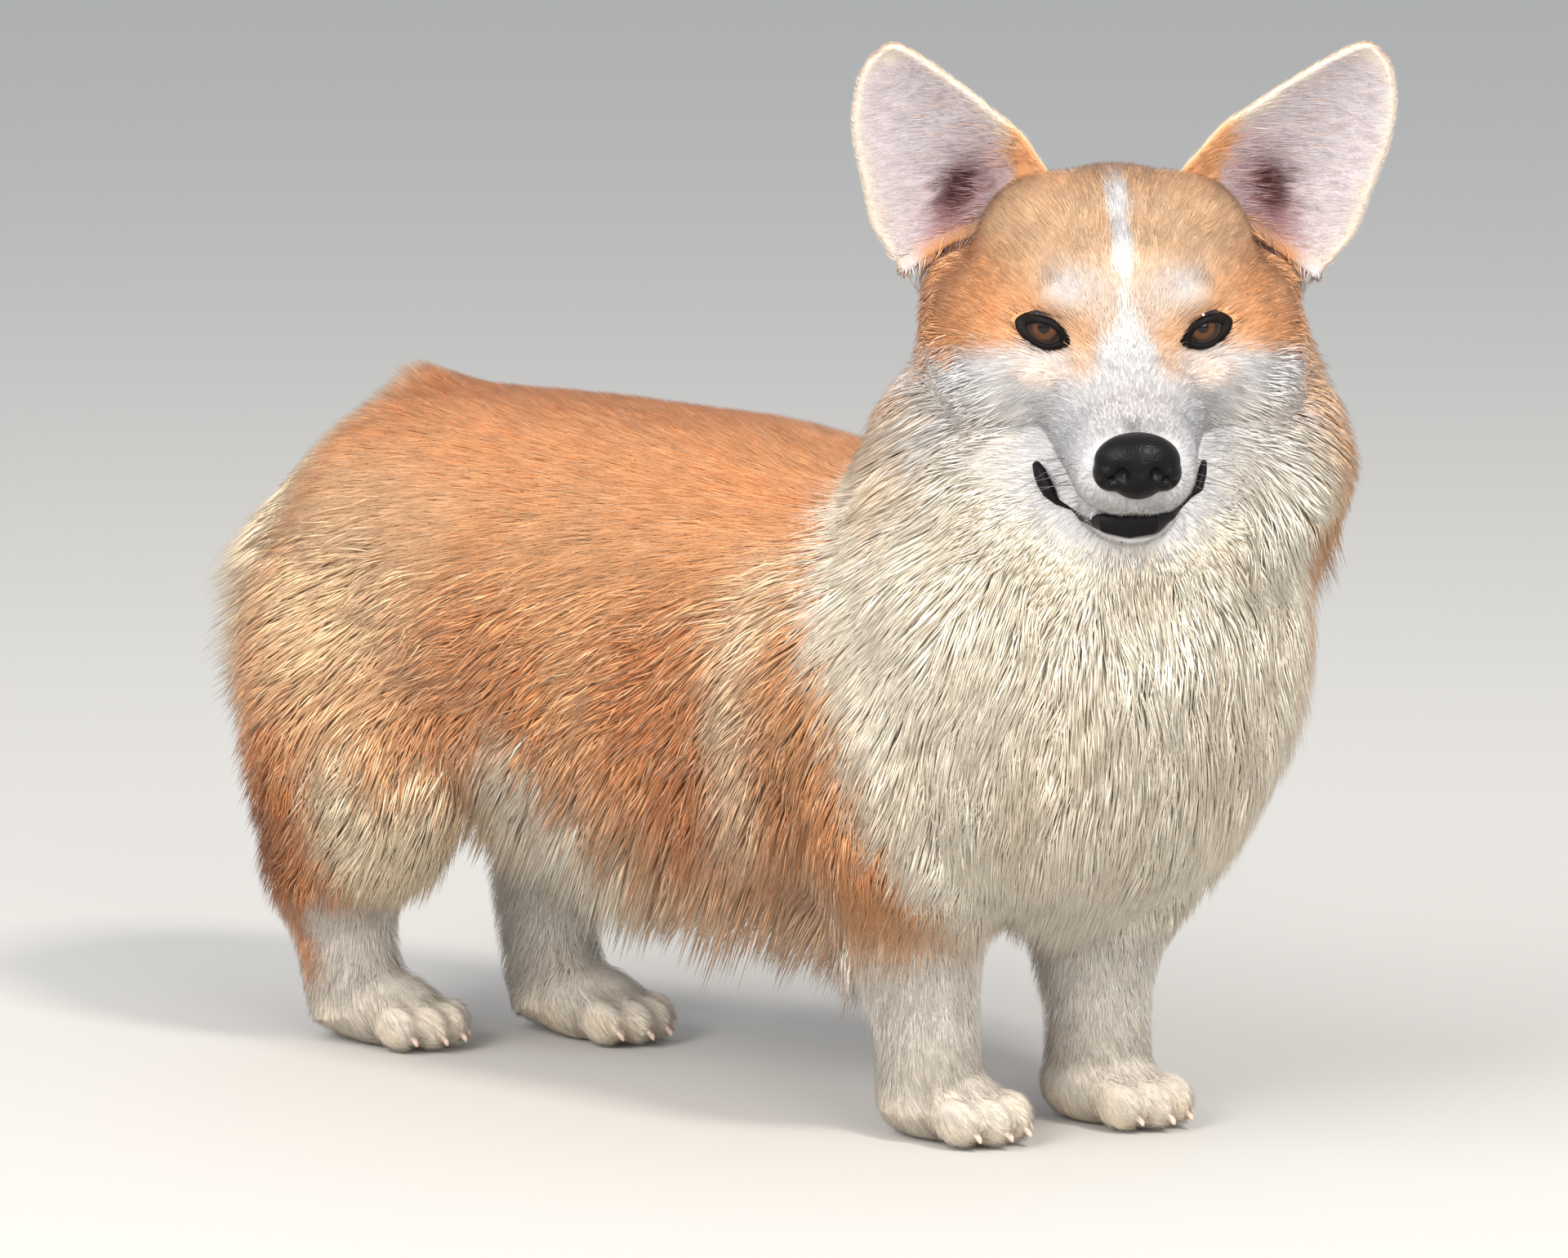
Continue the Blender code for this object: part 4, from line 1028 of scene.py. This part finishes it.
def write_tufts(name, path, tops, stations, length, at, colours, slot, fine):
    """The tufts as one mesh, all of the same faces, each on its root's place of the bake map."""
    count, rings = len(at), len(stations)
    size = rings * 3 + 1
    half = hair_width(length) * fine * coat_random.uniform(0.7, 1.3, count) / 2
    verts = np.empty((count, size, 3), np.float32)
    along = np.empty((count, size), np.float32)
    uv = np.empty((count, size, 2), np.float32)
    for i, s in enumerate(stations):
        ahead = path[i + 1] - path[max(i - 1, 0)]
        across = unit(np.cross(tops[i], ahead))
        over = unit(np.cross(ahead, across))
        wide = half * (0.75 + 0.9 * s) if s < 0.4 else half * (1.45 - 0.75 * s)
        for j, (x, z) in enumerate(((-1, 0), (1, 0), (0, 0.75))):
            corner = across * (wide * x)[:, None] + over * (wide * z)[:, None]
            verts[:, i * 3 + j] = path[i] + corner
            along[:, i * 3 + j] = s
            uv[:, i * 3 + j] = at + np.array([x * 0.0013, s * 0.0028 - 0.0014 + 0.0003 * z])
    verts[:, -1] = path[-1]
    along[:, -1] = 1
    uv[:, -1] = at + np.array([0, 0.0014])
    verts[:, :, 2] = np.maximum(verts[:, :, 2], CLEAR_OF_FLOOR)
    faces = [(0, 2, 1)]
    for i in range(rings - 1):
        for j, k in ((0, 1), (1, 2), (2, 0)):
            low, high = i * 3, i * 3 + 3
            faces += [(low + j, low + k, high + k), (low + j, high + k, high + j)]
    faces += [(size - 4 + j, size - 4 + k, size - 1) for j, k in ((0, 1), (1, 2), (2, 0))]
    faces = np.array(faces, np.int32)
    index = (faces[None] + (np.arange(count) * size)[:, None, None]).reshape(-1)
    mesh = bpy.data.meshes.new(name)
    mesh.vertices.add(count * size)
    mesh.vertices.foreach_set("co", verts.ravel())
    mesh.loops.add(len(index))
    mesh.loops.foreach_set("vertex_index", index)
    mesh.polygons.add(len(index) // 3)
    mesh.polygons.foreach_set("loop_start", np.arange(0, len(index), 3, dtype=np.int32))
    mesh.update(calc_edges=True)
    bake_map = mesh.uv_layers.new(name="OFBake")
    bake_map.data.foreach_set("uv", uv.reshape(-1, 2)[index].ravel())
    facing = np.repeat(tops[0][:, None, :], size, 1)
    facing[:, -1] = tops[-1]
    set_at_points(mesh, "coat_colour", opaque(np.repeat(colours, size, 0)))
    set_at_points(mesh, "along", along.reshape(-1, 1))
    set_at_points(mesh, "coat_normal", facing)
    mesh.validate()
    finish_piece(in_scene(name, mesh), hair, slot=slot)


def hair_material():
    """Hair lit half as single strands and half as one soft coat, with painted shade at the roots."""
    material = principled("hair", {
        "Roughness": 0.6, "Specular IOR Level": 0.25, "Sheen Weight": 0.2, "Sheen Roughness": 0.4,
    })
    strand = linked(material, "NewGeometry", {}, "Normal")
    normals_mixed = {0: 0.50, 4: strand, 5: at_hand(material, "coat_normal", "Vector")}
    facing = linked(material, "Mix", normals_mixed, 1, data_type="VECTOR")
    even = linked(material, "VectorMath", {0: facing}, operation="NORMALIZE")
    mottle = ranged(material, grain(material, 120.0, 4.0), 0.90, 1.08, 0.3, 0.7)
    # Painted shade: the hair is a little darker towards its roots
    root = ranged(material, at_hand(material, "along", "Fac"), 0.96, 1.04, end=0.6)
    tone = linked(material, "Math", {0: mottle, 1: root}, operation="MULTIPLY")
    colour = times(material, at_hand(material, "coat_colour"), tone)
    shade(material, {"Base Color": colour, "Normal": even})
    return material


hair = hair_material()
x, y, z = face_middles.T
h = head_places(face_middles)
grown_length = lie(face_middles)[:, 3]
on_head = head_share(face_middles)
on_ear = ear_share(h) * on_head
paw = step(0.058 - z, -0.006, 0.006)
collar = step(-(y + 0.118 + 0.42 * (0.25 - z)), -0.012, 0.012) * step(z, 0.080, 0.095)
body = (1 - on_head) * (1 - paw)
ruff, rest = body * collar, body * (1 - collar)
shaggy = step(grown_length, 0.0230, 0.0310)
leg = rest * (1 - shaggy) * step(0.105 - z, -0.008, 0.008)
fringe = rest * shaggy
trunk = np.clip(rest - leg - fringe, 0, 1)
face = on_head * (1 - on_ear) * (eye_patch(h) < 0.5) * (lip_band(h) < 0.5)
muzzle = face * step(-h[:, 1], 0.040, 0.050)
cheek = (face - muzzle) * step(grown_length, 0.0140, 0.0190)
crown = np.clip(face - muzzle - cheek, 0, 1)
right, rear = x < 0, y > 0.06
# Rings of a tuft, as shares of its length: one for a straight tuft, two for one that bends
STRAIGHT, BENT = [0.0], [0.0, 0.5]
RED_SLOT, WHITE_SLOT = "red_coat", "white_coat"
RUFF_HAIR = {"clump": 30, "lean": 0.34, "fine": 0.9}
EAR_HAIR = {"clump": 10, "lean": 0.35, "stray": 0.16, "fine": 0.75}
for end, half in (("right", right), ("left", ~right)):
    coat_piece(f"coat_back_{end}", trunk * half * rear, 23000, STRAIGHT, RED_SLOT)
    coat_piece(f"coat_side_{end}", trunk * half * ~rear, 23000, STRAIGHT, RED_SLOT)
    coat_piece(f"coat_fringe_{end}", fringe * half, 14000, BENT, RED_SLOT, lean=0.35, stray=0.15)
    coat_piece(f"coat_ruff_{end}", ruff * half, 16500, BENT, WHITE_SLOT, **RUFF_HAIR)
coat_piece("coat_legs", leg, 16000, STRAIGHT, WHITE_SLOT)
coat_piece("coat_feet", paw * (z > 0.002), 22000, STRAIGHT, WHITE_SLOT, stray=0.08)
coat_piece("coat_face", muzzle, 24000, STRAIGHT, WHITE_SLOT, lean=0.1, stray=0.06)
coat_piece("coat_cheeks", cheek, 9500, BENT, WHITE_SLOT, clump=14, lean=0.25, fine=0.8)
coat_piece("coat_head", crown, 22000, STRAIGHT, RED_SLOT, lean=0.15, stray=0.08)
coat_piece("coat_ears", on_ear, 18000, STRAIGHT, WHITE_SLOT, **EAR_HAIR)

flesh = [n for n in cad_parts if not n.startswith(("eye", "nose", "ear"))]
finish_piece(skin, skin_material(), *flesh, "ear_left", "ear_right", slot=WHITE_SLOT)

# ---- Eyes
# A dark amber eye in each socket: a ball with its iris and pupil, wet and shining.

eye_finish = principled("eye", {
    "Roughness": 0.12, "Specular IOR Level": 0.15, "Coat Weight": 0.35, "Coat Roughness": 0.02,
})
shade(eye_finish, {"Base Color": at_hand(eye_finish, "eye_colour")})
for side_name, side in SIDES.items():
    bm = bmesh.new()
    gaze = EYE_GAZE[side_name].normalized()
    turn = gaze.to_track_quat("Z", "Y").to_matrix().to_4x4()
    place = Matrix.Translation(mirrored(EYE_CENTRE, side)) @ turn
    bmesh.ops.create_uvsphere(bm, u_segments=64, v_segments=48, radius=EYE_RADIUS, matrix=place)
    eye = to_object(bm, f"eyeball_{side_name}")
    off = unit(places(eye.data) - np.array(mirrored(EYE_CENTRE, side))) @ np.array(gaze)
    angle = np.degrees(np.arccos(np.clip(off, -1, 1)))
    eye_colours = np.tile((0.018, 0.010, 0.008), (len(angle), 1))
    # The iris out to 29 degrees off the gaze, its dark edge, and the pupil
    for colour, mask in (
        ((0.070, 0.024, 0.007), step(29 - angle, -1, 1)),
        ((0.010, 0.005, 0.004), step(np.abs(angle - 30), 6, 1)),
        ((0.003, 0.003, 0.003), step(14 - angle, -1, 1)),
    ):
        eye_colours = layer(eye_colours, np.array(colour), mask)
    set_at_points(eye.data, "eye_colour", opaque(eye_colours))
    finish_piece(eye, eye_finish, f"eye_{side_name}", slot="eye", on_head=True)

# ---- Lids
# The black, hairless rim of each eye, a ring round the ball with a point at the inner corner.

# Rings of the rim, from the ball outwards: share of the outline, and how far it stands off
RIM_SIDES = 48
RIM_RINGS = [(0.60, -0.0004), (0.66, 0.0007), (0.80, 0.0013), (0.98, 0.0012), (1.10, -0.0006)]


def almond(turn, share):
    """A place on the eye's outline, seen from the front, as x and z on the left side."""
    rise = EYE_RISE[0] if math.sin(turn) > 0 else -EYE_RISE[1]
    along = math.cos(turn) * EYE_HALF * share
    off = rise * abs(math.sin(turn)) ** 1.3 * EYE_HALF * share
    x = EYE_MIDDLE[0] + along * math.cos(EYE_SLANT) - off * math.sin(EYE_SLANT)
    return x, EYE_MIDDLE[1] + along * math.sin(EYE_SLANT) + off * math.cos(EYE_SLANT)


def rim_place(side, turn, share, stand):
    """On the ball or on the skin, whichever is further out at that place."""
    x, z = almond(turn, share)
    x *= side
    centre = mirrored(EYE_CENTRE, side)
    gap = EYE_RADIUS**2 - (x - centre.x) ** 2 - (z - centre.z) ** 2
    ahead = centre.y - math.sqrt(gap) if gap > 0 else 0.0
    from_front = HEAD_FRAME @ Vector((x, -0.2, z))
    hit, _, _, gone = skin_tree.ray_cast(from_front, HEAD_TURN.to_3x3() @ Vector((0, 1, 0)))
    skin_y = -0.2 + gone if hit else ahead
    return Vector((x, min(ahead, skin_y) - stand, z))


def leather(name, colour, roughness, scale, strength):
    """Bare skin with a fine pebble."""
    material = principled(name, {"Roughness": roughness, "Specular IOR Level": 0.10})
    cells = grain(material, scale, 0.0, "TexVoronoi", "Distance")
    tone = times(material, colour, ranged(material, cells, 0.7, 1.4))
    pebble = {"Height": cells, "Strength": strength, "Distance": 0.0004}
    bump = linked(material, "Bump", pebble, invert=True)
    shade(material, {"Base Color": tone, "Normal": bump})
    return material


rim_finish = leather("eye_rim", (0.004, 0.003, 0.003), 0.5, 1500.0, 0.2)
for side_name, side in SIDES.items():
    bm = bmesh.new()
    rings = []
    for share, stand in RIM_RINGS:
        ring = circle(bm, RIM_SIDES)
        for i, v in enumerate(ring):
            v.co = rim_place(side, i / RIM_SIDES * 2 * math.pi, share, stand)
        rings.append(ring)
    for a, b in zip(rings, rings[1:] + rings[:1]):
        bmesh.ops.bridge_loops(bm, edges=ring_edges(bm, a) + ring_edges(bm, b))
    rim = to_object(bm, f"eye_rim_{side_name}")
    finish_piece(rim, rim_finish, slot="black_skin", on_head=True)

# ---- Nose
# The moist black nose leather, with its two nostrils and the groove below.

bm = bmesh.new()
for row in metres([
    (0, -118.5, -51.5, 18, 12, 12), (0, -120.5, -56.5, 12, 10.5, 10.5), (10.5, -119, -56, 8, 10, 8),
]):
    for side in sides_of(row):
        ball(bm, mirrored(row, side), row[3:])
nose = modelled(to_object(bm, "nose_leather"), voxel=0.0007, smoothing=10)
stroked(nose, metres([
    (7.8, -131, -54.5, 3, -5), (11.5, -129, -57.5, 2.4, -4), (14.5, -125, -59, 2, -3),
    (0, -132.5, -61, 1.4, -1.4), (0, -131.5, -64, 1.4, -1.6),
]))
nose_finish = leather("nose_leather", (0.005, 0.0045, 0.005), 0.30, 1100.0, 0.35)
finish_piece(nose, nose_finish, "nose", slot="black_skin", on_head=True)

# ---- Lips
# The black rim of the lower lip, widest in the middle, and the corners of the mouth.

# Stations from the right corner to the left: where the photo shows them, and half their height
LIP = metres([
    (-37.8, -64, -67.3, 1.6), (-36.2, -66, -70.8, 3.4), (-34.8, -69, -74.3, 4),
    (-32.5, -73, -77.5, 3.4), (-29.5, -78, -80.4, 1.4), (-23.8, -92, -79.5, 0.6),
    (-20.5, -103, -79.5, 1.6), (-12, -109, -80.8, 4.2), (-2, -111, -81.6, 5.4),
    (8, -110, -80.8, 4.6), (16.3, -103, -79.5, 1.8), (21.5, -95, -77.5, 1), (25.8, -88, -75, 1.2),
    (30, -77, -74.5, 2.4), (31.8, -71, -70.5, 2.2), (33.2, -66, -66.2, 1.4),
])
LIP_STANDS_OFF = 0.0008
LIP_MOST_OUT = 0.0026
LINE_OF_SIGHT = Vector((0.0398, 0.9555, -0.2922))


def seen_on_skin(place):
    """Where the line of sight through a place meets the skin, in the head's frame."""
    sight = HEAD_TURN.to_3x3() @ LINE_OF_SIGHT
    hit, _, _, _ = skin_tree.ray_cast(HEAD_FRAME @ place - sight * 0.2, sight)
    return HEAD_FRAME.inverted() @ (hit - sight * LIP_STANDS_OFF) if hit else place


bm = bmesh.new()
tube(bm, [(seen_on_skin(Vector(p)), r, min(r, LIP_MOST_OUT)) for *p, r in LIP], 12, UP)
lips = modelled(to_object(bm, "lips"), voxel=0.0006, smoothing=4)
lip_finish = leather("lip_skin", (0.005, 0.004, 0.005), 0.5, 900.0, 0.3)
finish_piece(lips, lip_finish, slot="black_skin", on_head=True)

# ---- Whiskers
# A few fine dark whiskers on the sides of the muzzle, stiffer than the coat and bending down.

WHISKER_ROOTS = metres([
    (23.5, -104, -56), (25, -98, -62), (24.5, -103, -66), (26.2, -91, -58), (26.5, -93, -67),
])
WHISKER_RADIUS = 0.00017
WHISKER_LENGTHS = (0.028, 0.040)
WHISKER_WAY = Vector((1.0, 0.30, -0.12))
WHISKER_ASTRAY = 0.16
WHISKER_SAG = 0.010
whisker_random = np.random.default_rng(5)
bm = bmesh.new()
for side in (-1, 1):
    for root in WHISKER_ROOTS:
        way = WHISKER_WAY + Vector(whisker_random.normal(size=3) * WHISKER_ASTRAY)
        reach = whisker_random.uniform(*WHISKER_LENGTHS)
        path = []
        for share in (0.0, 0.5, 1.0):
            place = Vector(root) + way * (reach * share) - UP * (WHISKER_SAG * share**2)
            radius = WHISKER_RADIUS * (1.05 - share)
            path.append((mirrored(place, side), radius, radius))
        tube(bm, path, 4, UP)
whiskers = to_object(bm, "whiskers")
whisker_hair = principled("whisker", {"Base Color": (0.10, 0.08, 0.07, 1), "Roughness": 0.4})
finish_piece(whiskers, whisker_hair, on_head=True)

# ---- Claws
# Four short horn claws on each paw, curving to the floor from between the toes' hair.

# Out from the toe, up, and radius
CLAW = metres([(6, 9.2, 2.1), (10.4, 8, 1.9), (12.6, 5.8, 1.2), (13.2, 4.4, 0.6)])
bm = bmesh.new()
for paws in (FORE_PAW, HIND_PAW):
    for middle in paws.values():
        for across, ahead in TOES:
            path = [(middle + Vector((across, ahead - out, up)), r, r) for out, up, r in CLAW]
            tube(bm, path, 8)
claws = to_object(bm, "claws")
horn = principled("claw_horn", {"Roughness": 0.4})
streaks = {"Factor": grain(horn, 500.0), 6: (0.42, 0.27, 0.21, 1), 7: (0.74, 0.60, 0.50, 1)}
shade(horn, {"Base Color": linked(horn, "Mix", streaks, 2, data_type="RGBA")})
finish_piece(claws, horn)

# ---- Studio
# A plain pale floor under soft light, seen from where the picture was taken.

bm = bmesh.new()
bmesh.ops.create_grid(bm, x_segments=1, y_segments=1, size=40.0)
floor = to_object(bm, "floor")
pale = principled("floor", {"Base Color": (0.44, 0.425, 0.40, 1), "Roughness": 0.9})
floor.data.materials.append(pale)

scene = bpy.context.scene
world = bpy.data.worlds.new("studio")
world.use_nodes = True
sky = world.node_tree.nodes["Background"]
sky.inputs["Color"].default_value = (0.80, 0.84, 0.90, 1)
sky.inputs["Strength"].default_value = 1.05
scene.world = world

LIT_PLACE = Vector((0, -0.05, 0.2))
WARM, FAINTLY_WARM = (1.0, 0.955, 0.88), (1.0, 0.97, 0.93)
for name, place, size, power, colour in (
    ("key", (-0.70, -3.20, 3.75), 0.8, 188, WARM),
    ("high_fill", (-2.9, -0.2, 3.9), 2.0, 40, FAINTLY_WARM),
    ("side_fill", (-4.0, -0.4, 2.3), 2.0, 162, FAINTLY_WARM),
    ("front_fill", (-1.6, -3.6, 1.5), 2.0, 75, FAINTLY_WARM),
    ("rear_fill", (-3.2, 1.8, 3.0), 2.0, 50, FAINTLY_WARM),
):
    lamp = bpy.data.lights.new(name, "AREA")
    lamp.size, lamp.energy, lamp.color = size, power, colour
    obj = in_scene(name, lamp)
    obj.location = place
    obj.rotation_euler = (LIT_PLACE - Vector(place)).to_track_quat("-Z", "Y").to_euler()

CAMERA_AZIMUTH = math.radians(-48.8)
CAMERA_ELEVATION = math.radians(7.5)
CAMERA_DISTANCE = 3.0
PICTURE_MIDDLE = Vector((-0.237, -0.2205, 0.25))
camera = in_scene("camera", bpy.data.cameras.new("camera"))
back = Vector((
    math.sin(CAMERA_AZIMUTH) * math.cos(CAMERA_ELEVATION),
    -math.cos(CAMERA_AZIMUTH) * math.cos(CAMERA_ELEVATION),
    math.sin(CAMERA_ELEVATION),
))
camera.location = PICTURE_MIDDLE + MIDDLE + back * CAMERA_DISTANCE
camera.rotation_mode = "QUATERNION"
camera.rotation_quaternion = back.to_track_quat("Z", "Y")
camera.data.lens = 170.4
camera.data.sensor_width = 36.0
scene.camera = camera
scene.view_settings.view_transform = "Standard"
